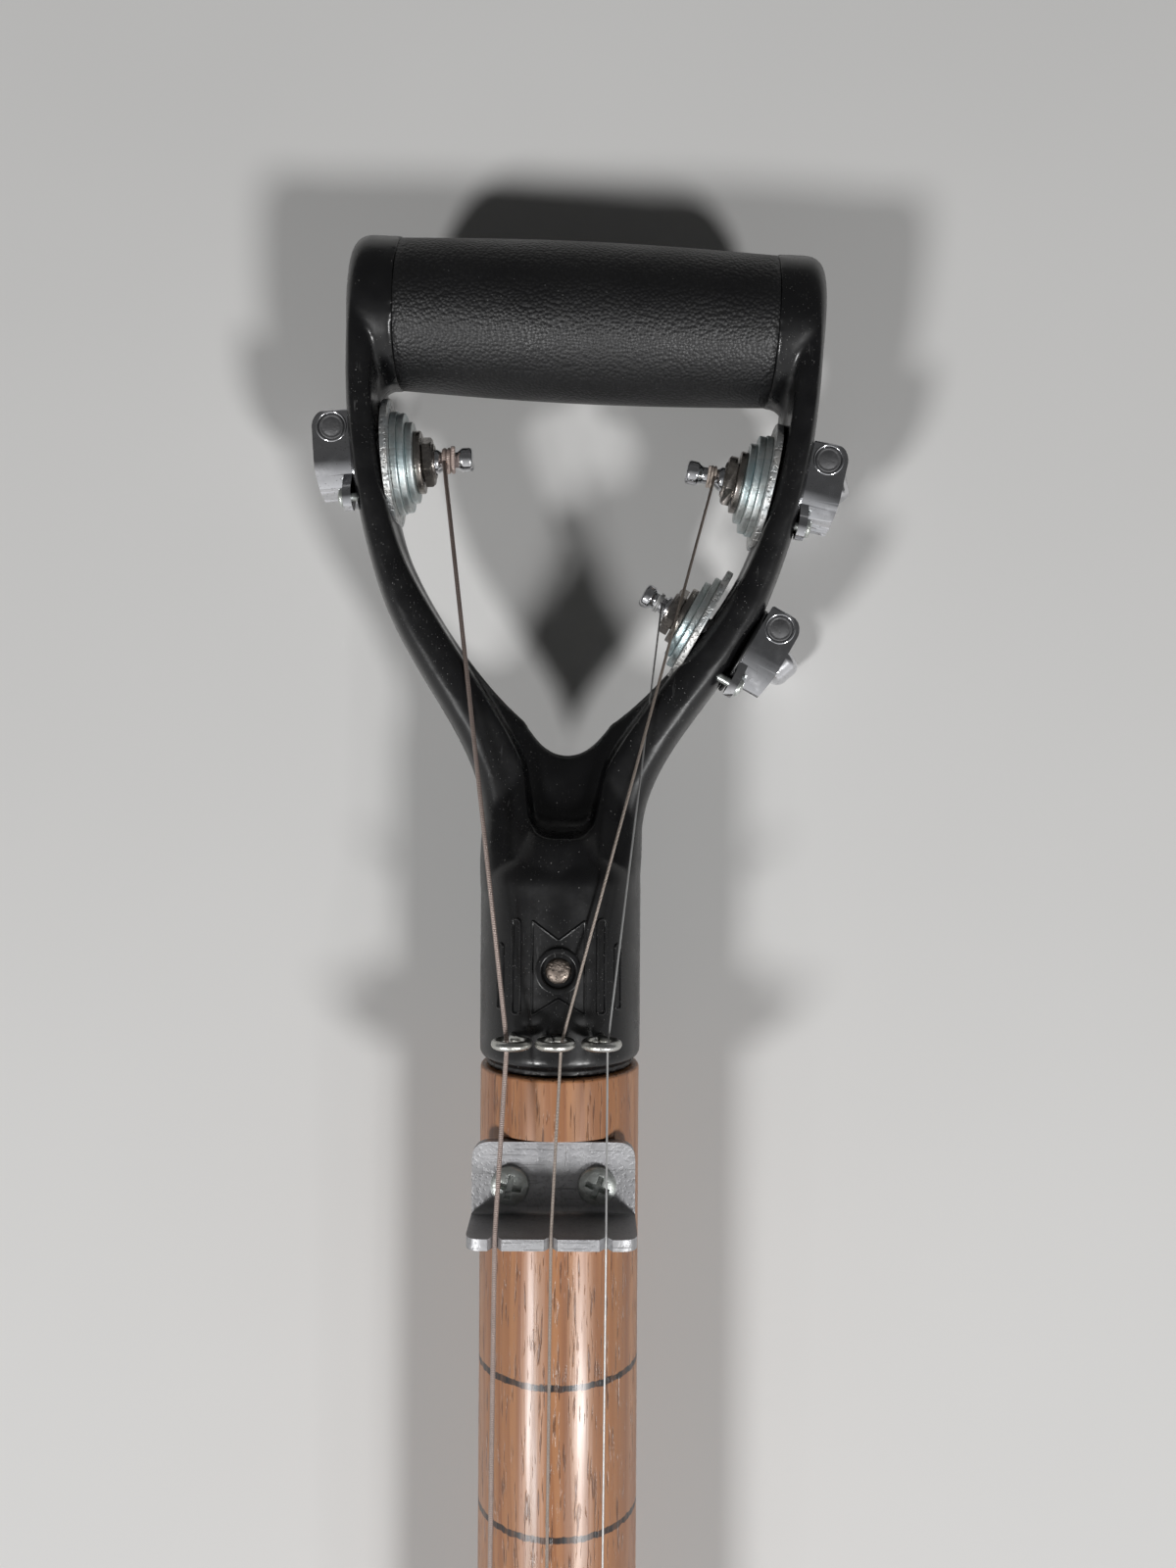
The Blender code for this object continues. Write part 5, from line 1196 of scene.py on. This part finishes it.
@dataclass(frozen=True)
class Blade:
    """The pressed steel blade with its rolled socket, its treads and its rivet."""

    sheet: float = 2.0
    socket: float = 18.2
    wrap: float = math.radians(170.0)
    socket_end: float = SHAFT_MOUTH - 113.0
    opening: float = 88.0
    drop: float = 160.0
    throat: float = 33.0
    shoulder: float = -512.0
    shoulder_length: float = 26.0
    half: float = 111.0
    point_start: float = -640.0
    tip: float = -809.0
    tip_half: float = 5.0
    dish: float = 260.0
    flat: float = 158.0
    lift: float = 32.0
    floor: float = 1.0 - AXIS_Z / MM
    tread_height: float = 11.0
    tread: tuple[float, float] = (66.0, 101.0)
    hole: float = 1.6
    rivet_in: float = 28.0
    level: float = 1e-6

    def rows(self, y: np.ndarray) -> tuple[np.ndarray, np.ndarray, np.ndarray]:
        """Return curvature, half width along the arc, and crown height of the sheet at each y.

        The rolled socket, of curvature 1/R, opens into a dish of curvature -1/D while its crown drops
        to the floor. The width widens over the shoulder and closes to the point as (1 - q^1.9)^0.72.
        """
        below = self.socket_end - y
        opening = smooth_step(below, 0.0, self.opening)
        drop = smooth_step(below, 0.0, self.drop)
        curvature = (1.0 - opening) / self.socket - opening / self.dish
        curvature = np.where(np.abs(curvature) < self.level, self.level, curvature)
        flat_end = self.shoulder - self.flat
        lift = self.lift * (np.clip(flat_end - y, 0.0, None) / (flat_end - self.tip)) ** 2
        crown = self.socket * (1.0 - drop) + self.floor * drop + lift
        tube_half = self.socket * self.wrap
        neck_half = tube_half + (self.throat - tube_half) * opening
        spread = smooth_step(-y, -self.shoulder, self.shoulder_length - self.shoulder) ** 0.6
        half = neck_half + (self.half - neck_half) * spread
        q = np.clip((self.point_start - y) / (self.point_start - self.tip), 0.0, 1.0)
        point = self.tip_half + (self.half - self.tip_half) * (1.0 - q ** 1.9) ** 0.72
        return curvature, np.where(q > 0.0, point, half), crown

    def points(self, y: np.ndarray, share: np.ndarray, lift: float | np.ndarray = 0.0) -> np.ndarray:
        """Return points of the sheet: an arc of its curvature at each y, share -1 to 1 across it."""
        curvature, half, crown = self.rows(y)
        turn = curvature * half * share
        x = np.sin(turn) / curvature + lift * np.sin(turn)
        z = crown - (1.0 - np.cos(turn)) / curvature + lift * np.cos(turn)
        return joined(x, y, z)

    def height(self, x: float, y: float) -> float:
        """Return the height of the middle of the sheet at a place on its dish."""
        curvature, _half, crown = self.rows(np.array(y))
        return float(crown - (1.0 - np.sqrt(1.0 - (curvature * x) ** 2)) / curvature)

    def tread_body(self, side: int) -> Patch:
        """Return one turned-over foot tread: a leaning fin along the shoulder, full in its middle."""
        y = np.array(self.shoulder - self.shoulder_length)
        reach = np.linspace(*self.tread, 33)
        share = side * reach / self.rows(y)[1]
        full = 0.55 + 0.45 * np.sin(np.pi * (reach - self.tread[0]) / (self.tread[1] - self.tread[0]))
        up = np.linspace(0.0, 1.0, 9)
        lean = 0.35 * self.tread_height * up ** 2
        rows = [self.points(y, share, (self.tread_height * step - 0.5) * full) for step in up]
        wall = np.stack(rows, axis=1)
        wall[..., 1] += lean * full[:, None]
        back = wall[:, ::-1] + (0.0, self.sheet, 0.0)
        return skin(np.concatenate((wall, back), axis=1))

    def sheet_mesh(self) -> Mesh:
        """Return the pressed sheet with its thickness, its rows closer together towards the point."""
        knots = (SHAFT_MOUTH, self.socket_end, self.shoulder, self.shoulder - self.shoulder_length,
                 self.point_start)
        rows = [np.linspace(start, end, count, endpoint=False)
                for start, end, count in zip(knots, knots[1:], (24, 50, 30, 30))]
        point = self.point_start + (self.tip - self.point_start) * np.sin(quarter(60))
        y = np.concatenate((*rows, point))
        grid = self.points(y[:, None], np.linspace(-1.0, 1.0, 97)[None, :])
        obj = linked("working", mesh_of("sheet", sheet(grid).at(NECK)))
        modify(obj, "SOLIDIFY", thickness=self.sheet * MM, offset=0.0)
        return finished(obj, [])

    def build(self) -> None:
        """Make the sheet with its treads and string holes, and the rivet across its socket."""
        steel = self.sheet_mesh()
        cuts = [(Cut.JOIN, mesh_of("tread", self.tread_body(side).at(NECK))) for side in (-1, 1)]
        for x in StringSet.bridge:
            spot = NECK.shifted(x, StringSet.anchor, self.height(x, StringSet.anchor))
            cuts.append((Cut.AWAY, mesh_of("hole", cylinder(self.hole, -5.0, 5.0, 24).at(spot))))
        add("blade", shaped(steel, cuts), ENAMEL)
        pin = rivet(shank=2.5, half=self.socket + 0.5 * self.sheet + 0.3, radius=4.5, height=2.2)
        across = NECK.shifted(0.0, SHAFT_MOUTH - self.rivet_in, 0.0).facing(Heading.OUT)
        add("blade_rivet", mesh_of("rivet", pin.at(across)), RIVET)


@dataclass(frozen=True)
class TuningMachine:
    """One worm-drive tuning machine with the washers that pack it out on its arm."""

    name: str
    gauge: Gauge
    washers: int
    shimmed: bool = False
    post_out: float = 9.5
    height: float = 8.7
    half: float = 8.2
    top: float = 11.8
    round_middle: float = 0.2
    corner: float = 4.2
    worm_corner: float = 1.2
    draft: float = 0.6
    seat: float = 0.02
    wheel_out: float = 4.1
    centres: float = 7.6
    ear: Triple = (8.2, -9.3, 3.1)
    ear_root: float = 0.35
    ear_thick: float = 2.0
    fit: float = 0.27
    plug: float = 3.0
    plug_fit: float = 0.12
    rim: Triple = (0.4, 0.16, 0.3)
    post: float = 2.85
    post_round: float = 0.9
    waist: float = 2.0
    wheel: tuple[float, float] = (4.4, 6.2)
    teeth: int = 15
    worm: Triple = (1.05, 2.6, 2.35)
    worm_turns: float = 2.6
    button: Triple = (11.6, 18.5, 33.0)
    button_half: float = 4.0
    button_rim: float = 2.3
    recess: float = 2.6
    recess_depth: float = 1.8

    def place(self) -> Place:
        """Return the machine's frame: X out of the arm, Z towards the strings, origin on the post."""
        turn = joint("post_turn_" + self.name)
        axis, origin = np.array(turn["axis"], float), np.array(turn["pos_m"], float)
        reach = (node_points("housing_" + self.name) - origin) @ axis
        out = axis * np.sign(reach.mean())
        return Place(origin, np.array((out, np.cross(UP, out), UP)))

    def toward_bar(self) -> float:
        """Return 1 or -1: which way along the machine's Y the crossbar lies."""
        return float(np.sign(self.place().axes[1, 1]))

    def hex_top(self) -> float:
        """Return how far in along the post the bushing's head ends."""
        return -float(extent("bushing_" + self.name, self.place())[0][0])

    def housing_outlines(self) -> tuple[np.ndarray, np.ndarray]:
        """Return the housing seen from the strings, and seen along the post."""
        up = np.array((1.0, self.toward_bar()))
        low = self.round_middle - self.half - 1.0
        shoulder = arc((self.height - self.corner, self.top - self.corner), self.corner, 0.0, 90.0, 16)
        foot = ((self.seat, low), (self.height - self.draft, low), (self.height, low + 7.0))
        rim = ((self.draft, self.top), (self.seat, self.top - self.draft))
        gear_end = arc((0.0, self.round_middle), self.half, 180.0, 360.0, 48)
        wide, high = self.half - self.worm_corner, self.top - self.worm_corner
        right = arc((wide, high), self.worm_corner, 0.0, 90.0, 6)
        left = arc((-wide, high), self.worm_corner, 90.0, 180.0, 6)
        return np.concatenate((foot, shoulder, rim)) * up, np.concatenate((gear_end, right, left)) * up

    def housing_mesh(self) -> Mesh:
        """Return the die-cast housing: two outlines' common body, a screw ear and the worm's bore."""
        place, up = self.place(), self.toward_bar()
        side, plan = self.housing_outlines()
        body = prism(side, -self.half - 1.0, self.half + 1.0)
        inside = prism(plan, -1.0, self.height + 1.0).reordered(2, 1, 0)
        z, y, r = self.ear
        centre = np.array((z, up * y))
        heading = math.degrees(math.atan2(up * y, z))
        lobe = np.concatenate((arc(centre, r, heading - 90.0, heading + 90.0, 20),
                               arc(self.ear_root * centre, r, heading + 90.0, heading + 270.0, 20)))
        ear = prism(lobe, self.seat, self.ear_thick).reordered(2, 1, 0)
        bore = cylinder(self.plug + self.plug_fit, self.half - 2.6, self.half + 2.0).at(self.worm_place())
        cuts = [(Cut.COMMON, mesh_of("plan", inside.at(place))), (Cut.JOIN, mesh_of("ear", ear.at(place))),
                (Cut.AWAY, mesh_of("bore", bore))]
        return shaped(mesh_of("housing", body.at(place)), cuts, edge=0.42, segments=4, sharp=30.0)

    def worm_place(self) -> Place:
        """Return the worm's frame, its Z along the worm's axis towards the strings."""
        return self.place().shifted(self.wheel_out, self.toward_bar() * self.centres, 0.0)

    def plug_body(self) -> Patch:
        """Return the plug that closes the worm's bore: a flat disc with a turned groove near its rim."""
        r, high = self.plug, self.half - 0.02
        return lathe(((0.0, high - 2.2), (r, high - 2.2), (r, high - 0.2), (r - 0.2, high), (r - 0.55, high),
                      (r - 0.7, high - 0.18), (r - 0.9, high), (0.0, high + 0.05)), 56)

    def rim_body(self) -> Patch:
        """Return the bright rim that stands round the plug, a ring of round section."""
        out, down, radius = self.rim
        return turned_ring(arc((self.plug + out, self.half - down), radius, 0.0, 360.0, 12)[:-1], 64)

    def post_body(self) -> Patch:
        """Return the string post: a pivot, a plain bearing, a waist of smooth steps and a domed tip."""
        bearing, edge = self.hex_top(), self.post_round
        top = bearing + self.post_out
        u = np.linspace(0.0, 1.0, 41)
        hollow = smooth_step(u, 0.0, 0.2) - smooth_step(u, 0.56, 0.82)
        waist = joined(self.post - (self.post - self.waist) * hollow,
                       bearing + edge + (self.post_out - edge - 1.0) * u)
        tip = arc((self.post - edge, top - edge), edge, 0.0, 90.0, 8)
        foot = ((0.0, -7.5), (1.2, -7.5), (1.2, -5.7), (self.post, -5.7))
        return lathe(np.concatenate((foot, waist, tip, ((0.0, top),))), 56)

    def wheel_body(self) -> Patch:
        """Return the worm wheel: trapezoid teeth, root to tip to root, twisted along the wheel's height."""
        root, tip = self.wheel
        tooth = np.arange(self.teeth)[:, None] + 0.5
        width = np.array((-0.3, -0.16, 0.16, 0.3))[None, :]
        radius = np.tile((root, tip, tip, root), self.teeth)
        angles = ((tooth + width) * 2.0 * np.pi / self.teeth).ravel() + 0.5 * np.pi * self.toward_bar()
        h = np.array((-1.2, 1.2))[:, None]
        angles = angles[None, :] + 0.04 * h
        return skin(joined(radius * np.cos(angles), radius * np.sin(angles), h - self.wheel_out))

    def worm_bodies(self) -> list[Patch]:
        """Return the worm's turned shaft and its thread, a ridge swept along a helix."""
        root, tip, lead = self.worm
        half = 0.5 * self.worm_turns * lead
        end, stop = 4.2 - self.button[2], self.half - 1.6
        shaft = lathe(((0.0, end), (1.9, end), (2.0, end + 0.1), (2.0, -half - 0.6), (root, -half - 0.2),
                       (root, half), (1.2, half + 0.4), (1.2, stop), (0.0, stop)), 32)
        h = np.linspace(-half, half, 121)[:, None]
        a = 2.0 * np.pi * h / lead - 0.5 * np.pi * self.toward_bar()
        crown = root + (tip - root) * np.minimum(1.0, 0.3 + (half - np.abs(h)) / (0.3 * lead))
        base = np.full_like(h, 0.8 * root)
        r = np.concatenate((base, crown, crown, base), axis=1)
        rise = h + np.array((-0.62, -0.2, 0.2, 0.62))[None, :]
        return [shaft, skin(joined(r * np.cos(a), r * np.sin(a), rise))]

    def button_place(self) -> Place:
        """Return the button's frame: X along its length, Y up the worm's axis."""
        origin = np.array(joint("button_turn_" + self.name)["pos_m"], float)
        flat = node_points("button_" + self.name)[:, :2]
        long = np.linalg.eigh(np.cov((flat - flat.mean(axis=0)).T))[1][:, 1]
        x = np.array((long[0], long[1], 0.0))
        return Place(origin, np.array((x, UP, np.cross(x, UP))))

    def button_body(self) -> Patch:
        """Return the kidney button: its outline drawn in by b (1 - cos a) as its rim rounds over."""
        reach, start, end = self.button
        length = end - start
        lobe = 0.36 * length
        waist = -end + 0.55 * length
        belly = bezier(((5.2, -end), (0.8 * reach, 0.02 * length - end), (reach, 0.2 * length - end),
                        (reach, waist)), np.linspace(0.0, 1.0, 25))
        shoulder = arc((reach - lobe, waist), lobe, 0.0, 112.0, 20)[1:]
        neck = bezier((shoulder[-1], (0.45 * reach, -start - 0.5), (0.3 * reach, -start - 0.7),
                       (0.24 * reach, -start)), np.linspace(0.0, 1.0, 9))[1:]
        right = np.concatenate((belly, shoulder, neck))
        outline = np.concatenate((right, right[::-1] * (-1.0, 1.0)))
        ahead = np.roll(outline, -1, axis=0) - np.roll(outline, 1, axis=0)
        out = joined(ahead[:, 1], -ahead[:, 0]) / np.linalg.norm(ahead, axis=1, keepdims=True)
        b = self.button_rim
        a = np.concatenate((np.linspace(-0.5, 0.0, 9), np.linspace(0.0, 0.5, 9)))[:, None] * np.pi
        rise = (self.button_half - b) * np.repeat((-1.0, 1.0), 9)[:, None] + b * np.sin(a)
        inset = b * (1.0 - np.cos(a))
        return skin(joined(outline[:, 0] - inset * out[:, 0], outline[:, 1] - inset * out[:, 1], rise))

    def washer_body(self, node: str) -> Patch:
        """Return a flat washer with rounded rims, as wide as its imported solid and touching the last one."""
        points = self.place().take(node_points(node))
        reach = np.hypot(points[:, 1], points[:, 2])
        section = rectangle(reach.min(), reach.max(), -points[:, 0].max() - self.fit, -points[:, 0].min())
        return turned_ring(soft_corners(section, 0.4, 4), 96)

    def hex_mesh(self) -> Mesh:
        """Return the bushing's hex head, its corners chamfered by a turned body, over its tube."""
        inward = self.place().facing(Heading.IN)
        points = inward.take(node_points("bushing_" + self.name))
        reach = np.hypot(points[:, 0], points[:, 1])
        far = points[np.argmax(reach)]
        start, wide = math.atan2(far[1], far[0]), reach.max()
        high = points[:, 2].max()
        low = points[reach > 0.9 * wide][:, 2].min()
        angles = start + circle_angles(6)
        flats = prism(joined(wide * np.cos(angles), wide * np.sin(angles)), low, high)
        cone = lathe(((0.0, low - 0.1), (wide + 0.3, low - 0.1), (wide + 0.3, high - 0.75),
                      (0.86 * wide, high + 0.05), (0.0, high + 0.05)), 72)
        collar = lathe(((0.0, low - 1.0), (4.2, low - 1.0), (4.2, high + 0.25), (3.9, high + 0.45),
                        (3.3, high + 0.45), (3.2, high - 1.0), (0.0, high - 1.0)), 56)
        cuts = [(kind, mesh_of("cut", patch.at(inward)))
                for kind, patch in ((Cut.COMMON, cone), (Cut.JOIN, collar))]
        return shaped(mesh_of("hex", flats.at(inward)), cuts, edge=0.12, segments=2, sharp=25.0)

    def build_fixed(self) -> None:
        """Make the pieces that stay on the arm: housing, plug, mounting screw, washers and bushing."""
        place, worm, name = self.place(), self.worm_place(), self.name
        inward = place.facing(Heading.IN)
        add("housing_" + name, self.housing_mesh(), CHROME)
        add("worm_rim_" + name, mesh_of("rim", self.rim_body().at(worm)), CHROME)
        add("worm_plug_" + name, mesh_of("plug", self.plug_body().at(worm)), PLUG)
        z, y, _r = self.ear
        spot = place.shifted(self.ear_thick, self.toward_bar() * y, z).facing(Heading.OUT)
        screw = PanScrew(shank=1.0, length=6.0, head=2.2, height=1.5)
        add("mount_screw_" + name, screw.mesh(spot, 0.4), STEEL)
        rings = [(f"washer_{name}_{count}", ZINC) for count in range(1, self.washers + 1)]
        rings[0] = (rings[0][0], PITTED_ZINC)
        rings[-1] = (rings[-1][0], NICKEL)
        if self.shimmed:
            rings.append(("shim_washer_" + name, SHIM))
        for node, finish in rings:
            add(node, mesh_of("washer", self.washer_body(node).at(inward)), finish)
        add("bushing_" + name, self.hex_mesh(), NICKEL)

    def build_moving(self) -> None:
        """Make the post with its wheel, and the button with its worm and screw."""
        worm, name = self.worm_place(), self.name
        inward = self.place().facing(Heading.IN)
        post = mesh_of("post", self.post_body().at(inward), self.wheel_body().at(inward))
        add("string_post_" + name, post, CHROME, "post_" + name)
        body = "button_" + name
        turned = mesh_of("worm", *(patch.at(worm) for patch in self.worm_bodies()))
        add("worm_shaft_" + name, turned, STEEL, body)
        end = -self.button[2]
        recess = cylinder(self.recess, end - 1.0, end + self.recess_depth, 40)
        knob = mesh_of("button", self.button_body().at(self.button_place()))
        knob = shaped(knob, [(Cut.AWAY, mesh_of("recess", recess.at(worm)))])
        add("button_" + name, knob, CHROME, body)
        seat = worm.shifted(0.0, 0.0, end + self.recess_depth).facing(Heading.DOWN)
        screw = PanScrew(shank=1.0, length=4.0, head=2.3, height=1.2)
        add("button_screw_" + name, screw.mesh(seat, 0.9), STEEL, body)


@dataclass(frozen=True)
class StringSet:
    """The three strings, from their turns on the posts to their ball ends under the blade."""

    nut: tuple[float, ...] = (-13.1, -1.0, 10.9)
    nut_height: float = 31.5
    bridge: tuple[float, ...] = (-19.5, -5.5, 8.0)
    bridge_height: float = 17.0
    anchor: float = -SCALE_LENGTH - 87.0
    behind: float = 2.8
    bend: float = 1.2
    sides: int = 14
    eye_shift: tuple[float, ...] = (-1.0, 1.3, 1.4)
    eye_lift: float = 0.5
    turns: int = 2
    first_turn: float = 2.6
    pitch: float = 1.06
    tail: float = 2.2
    ball: tuple[float, float] = (1.9, 3.5)
    ball_round: float = 0.5

    def winding(self, machine: TuningMachine, eye: np.ndarray) -> tuple[np.ndarray, np.ndarray]:
        """Return a string's turns on its post, and where it leaves the post on a tangent to its eye.

        The turns are a helix about the post, a string's width apart, that starts at the tangent point
        on the string side and climbs towards the post's tip. All points are in the machine's place.
        """
        dia = machine.gauge.value
        radius = machine.waist + 0.5 * dia + 0.04
        target = machine.place().take(NECK.put(eye))
        away = math.hypot(target[1], target[2])
        bearing = math.atan2(target[2], target[1])
        swing = math.acos(radius / away)
        start = max((bearing + swing, bearing - swing), key=math.sin)
        low = machine.hex_top() + self.first_turn
        leave = np.array((-low, radius * math.cos(start), radius * math.sin(start)))
        heading = (target - leave) / np.linalg.norm(target - leave)
        hand = np.sign(math.sin(start) * heading[1] - math.cos(start) * heading[2])
        t = np.linspace(0.0, self.turns, 48 * self.turns + 1)
        angle = start + hand * 2.0 * np.pi * t
        helix = joined(-low - self.pitch * dia * t, radius * np.cos(angle), radius * np.sin(angle))
        step = helix[-1] - helix[-2]
        tail = helix[-1] + step / np.linalg.norm(step) * np.linspace(0.0, self.tail * dia, 5)[1:, None]
        lead = leave + heading * np.linspace(dia, 0.0, 4)[:-1, None]
        return np.concatenate((lead, helix, tail)), leave + heading * (dia + 0.05)

    def ball_body(self, top: float) -> Patch:
        """Return the ball end, a short barrel with rounded rims that hangs down from top."""
        r, length = self.ball
        low = top - length
        setbacks = (0.0, self.ball_round, self.ball_round, 0.0)
        barrel = soft_corners(rectangle(0.0, r, low, top), setbacks, 4)[5:-5]
        return lathe(np.concatenate((((0.0, low),), barrel, ((0.0, top),))), 32)

    def build(self, machine: TuningMachine, index: int, blade: Blade, finish: Finish) -> None:
        """Make one string: the turns ride on their post, and the run is held by eye, nut and bridge.

        Args:
            machine: the tuning machine that holds it.
            index: its number, from the thick side.
            blade: the blade that its ball end bears on.
            finish: its wire.
        """
        eyes, radius = ScrewEyes(), 0.5 * machine.gauge.value
        eye = np.array((eyes.places[index] + self.eye_shift[index], eyes.along,
                        eyes.ring_height + self.eye_lift))
        place = machine.place()
        turns, begin = self.winding(machine, eye)
        wound = tube(turns, radius, self.sides).at(place)
        add("winding_" + machine.name, mesh_of("winding", wound), finish, "post_" + machine.name)
        x = self.bridge[index]
        sheet_z = blade.height(x, self.anchor)
        ball_top = sheet_z - 0.5 * blade.sheet - 0.3
        route = (NECK.take(place.put(begin)), eye, (self.nut[index], self.behind, self.nut_height),
                 (x, -SCALE_LENGTH - self.behind, self.bridge_height),
                 (x, self.anchor + 0.4 * blade.sheet, sheet_z + blade.sheet),
                 (x, self.anchor, sheet_z - 1.0), (x, self.anchor, ball_top - 0.5))
        wire = tube(bent_path(np.array(route), self.bend), radius, self.sides).at(NECK)
        ball = self.ball_body(ball_top).at(NECK.shifted(x, self.anchor, 0.0))
        ball = Patch(ball.points, ball.faces, np.zeros(len(ball.points)))
        add("string_" + machine.name, mesh_of("string", wire, ball), finish)


@dataclass(frozen=True)
class Studio:
    """The pale table, two soft lamps and the camera straight above the instrument's head."""

    floor_half: float = 6.0
    floor_drop: float = 0.0001
    lamp_sides: tuple[float, float] = (-0.90, 0.81)
    lamp_back: float = -0.53
    lamp_height: float = 1.28
    lamp_size: float = 0.30
    lamp_power: float = 17.5
    aim: Triple = (0.0, 0.40, 0.03)
    ambient: float = 0.04
    wall_rise: tuple[float, ...] = (0.05, 0.85, 1.0, 0.5)
    wall_side: tuple[float, ...] = (0.1, -0.5, 0.07, 0.8)
    eye: Triple = (0.0064, 0.3896, 0.328)
    lens: float = 28.08
    sensor: float = 36.0
    nearest: float = 0.01
    roll: float = 0.0061

    def room(self) -> bpy.types.World:
        """Return a dim world with a lit wall, low on the lamps' side, that shows only in reflections."""
        world = bpy.data.worlds.new("studio")
        world.use_nodes = True
        graph = Graph(world.node_tree, "Generated")
        rise = graph.span(graph.axis("Z"), *self.wall_rise)
        lit = graph.times(rise, graph.span(graph.axis("Y"), *self.wall_side))
        ray = graph.node("ShaderNodeLightPath", {}).outputs["Is Glossy Ray"]
        back = graph.tree.nodes["Background"]
        graph.plug(back.inputs["Color"], (1.0, 1.0, 1.0))
        graph.plug(back.inputs["Strength"], graph.math("MULTIPLY_ADD", lit, ray, self.ambient))
        return world

    def floor(self) -> None:
        """Make the table, a hair under the instrument."""
        ways = np.array((-self.floor_half, self.floor_half))
        top = sheet(joined(ways[None, :], ways[:, None], -self.floor_drop))
        floor = linked("floor", mesh_of("floor", top))
        floor.data.materials.append(FLOOR.material())

    def lamps(self) -> None:
        """Make the two round lamps, both turned to one point of the instrument."""
        target = linked("aim", None)
        target.location = self.aim
        for side, label in zip(self.lamp_sides, ("left", "right")):
            lamp = bpy.data.lights.new("lamp_" + label, "AREA")
            configure(lamp, {"shape": "DISK", "size": self.lamp_size, "energy": self.lamp_power})
            stand = linked("lamp_" + label, lamp)
            stand.location = (side, self.lamp_back, self.lamp_height)
            follow = stand.constraints.new("TRACK_TO")
            configure(follow, {"target": target, "track_axis": "TRACK_NEGATIVE_Z", "up_axis": "UP_Y"})

    def build(self) -> None:
        """Make the floor, the lamps, the world's faint fill and the camera."""
        self.floor()
        self.lamps()
        scene = bpy.context.scene
        scene.world = self.room()
        camera = bpy.data.cameras.new("camera")
        configure(camera, {"lens": self.lens, "sensor_width": self.sensor, "clip_start": self.nearest})
        scene.camera = linked("camera", camera)
        scene.camera.location = self.eye
        scene.camera.rotation_euler = (0.0, 0.0, self.roll)
        scene.view_settings.view_transform = "Standard"


def angle_bars(strings: StringSet) -> tuple[AngleBar, AngleBar]:
    """Return the nut and the bridge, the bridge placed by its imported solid."""
    low, high = extent("bridge_angle", NECK)
    nut = AngleBar("nut", middle=-0.9, back=0.0, seat=14.3, length=37.2, foot=18.7, upright=18.7, side=1,
                   strings=strings.nut, string_height=strings.nut_height,
                   screw_spacing=19.8, screw_in=9.0, screw_length=18.0)
    bridge = AngleBar("bridge", middle=0.5 * float(low[0] + high[0]), back=-SCALE_LENGTH, seat=float(low[2]),
                      length=44.0, foot=25.0, upright=float(high[2] - low[2]), side=-1,
                      strings=strings.bridge, string_height=strings.bridge_height,
                      screw_spacing=24.0, screw_in=15.0, screw_length=5.6)
    return nut, bridge


STRUNG = ((TuningMachine("left", Gauge.THICK, washers=5), COPPER_WOUND),
          (TuningMachine("right_upper", Gauge.MIDDLE, washers=5), BRONZE_WOUND),
          (TuningMachine("right_lower", Gauge.THIN, washers=4, shimmed=True, post_out=7.4), PLAIN_WIRE))


def main() -> None:
    """Build the studio and every piece of the instrument."""
    logging.basicConfig(level=logging.INFO, format="%(message)s")
    strings, blade = StringSet(), Blade()
    for part in (Studio(), DGrip(), Shaft(), *angle_bars(strings), ScrewEyes(), blade):
        part.build()
    for index, (machine, wire) in enumerate(STRUNG):
        machine.build_fixed()
        machine.build_moving()
        strings.build(machine, index, blade, wire)


if __name__ == "__main__":
    main()
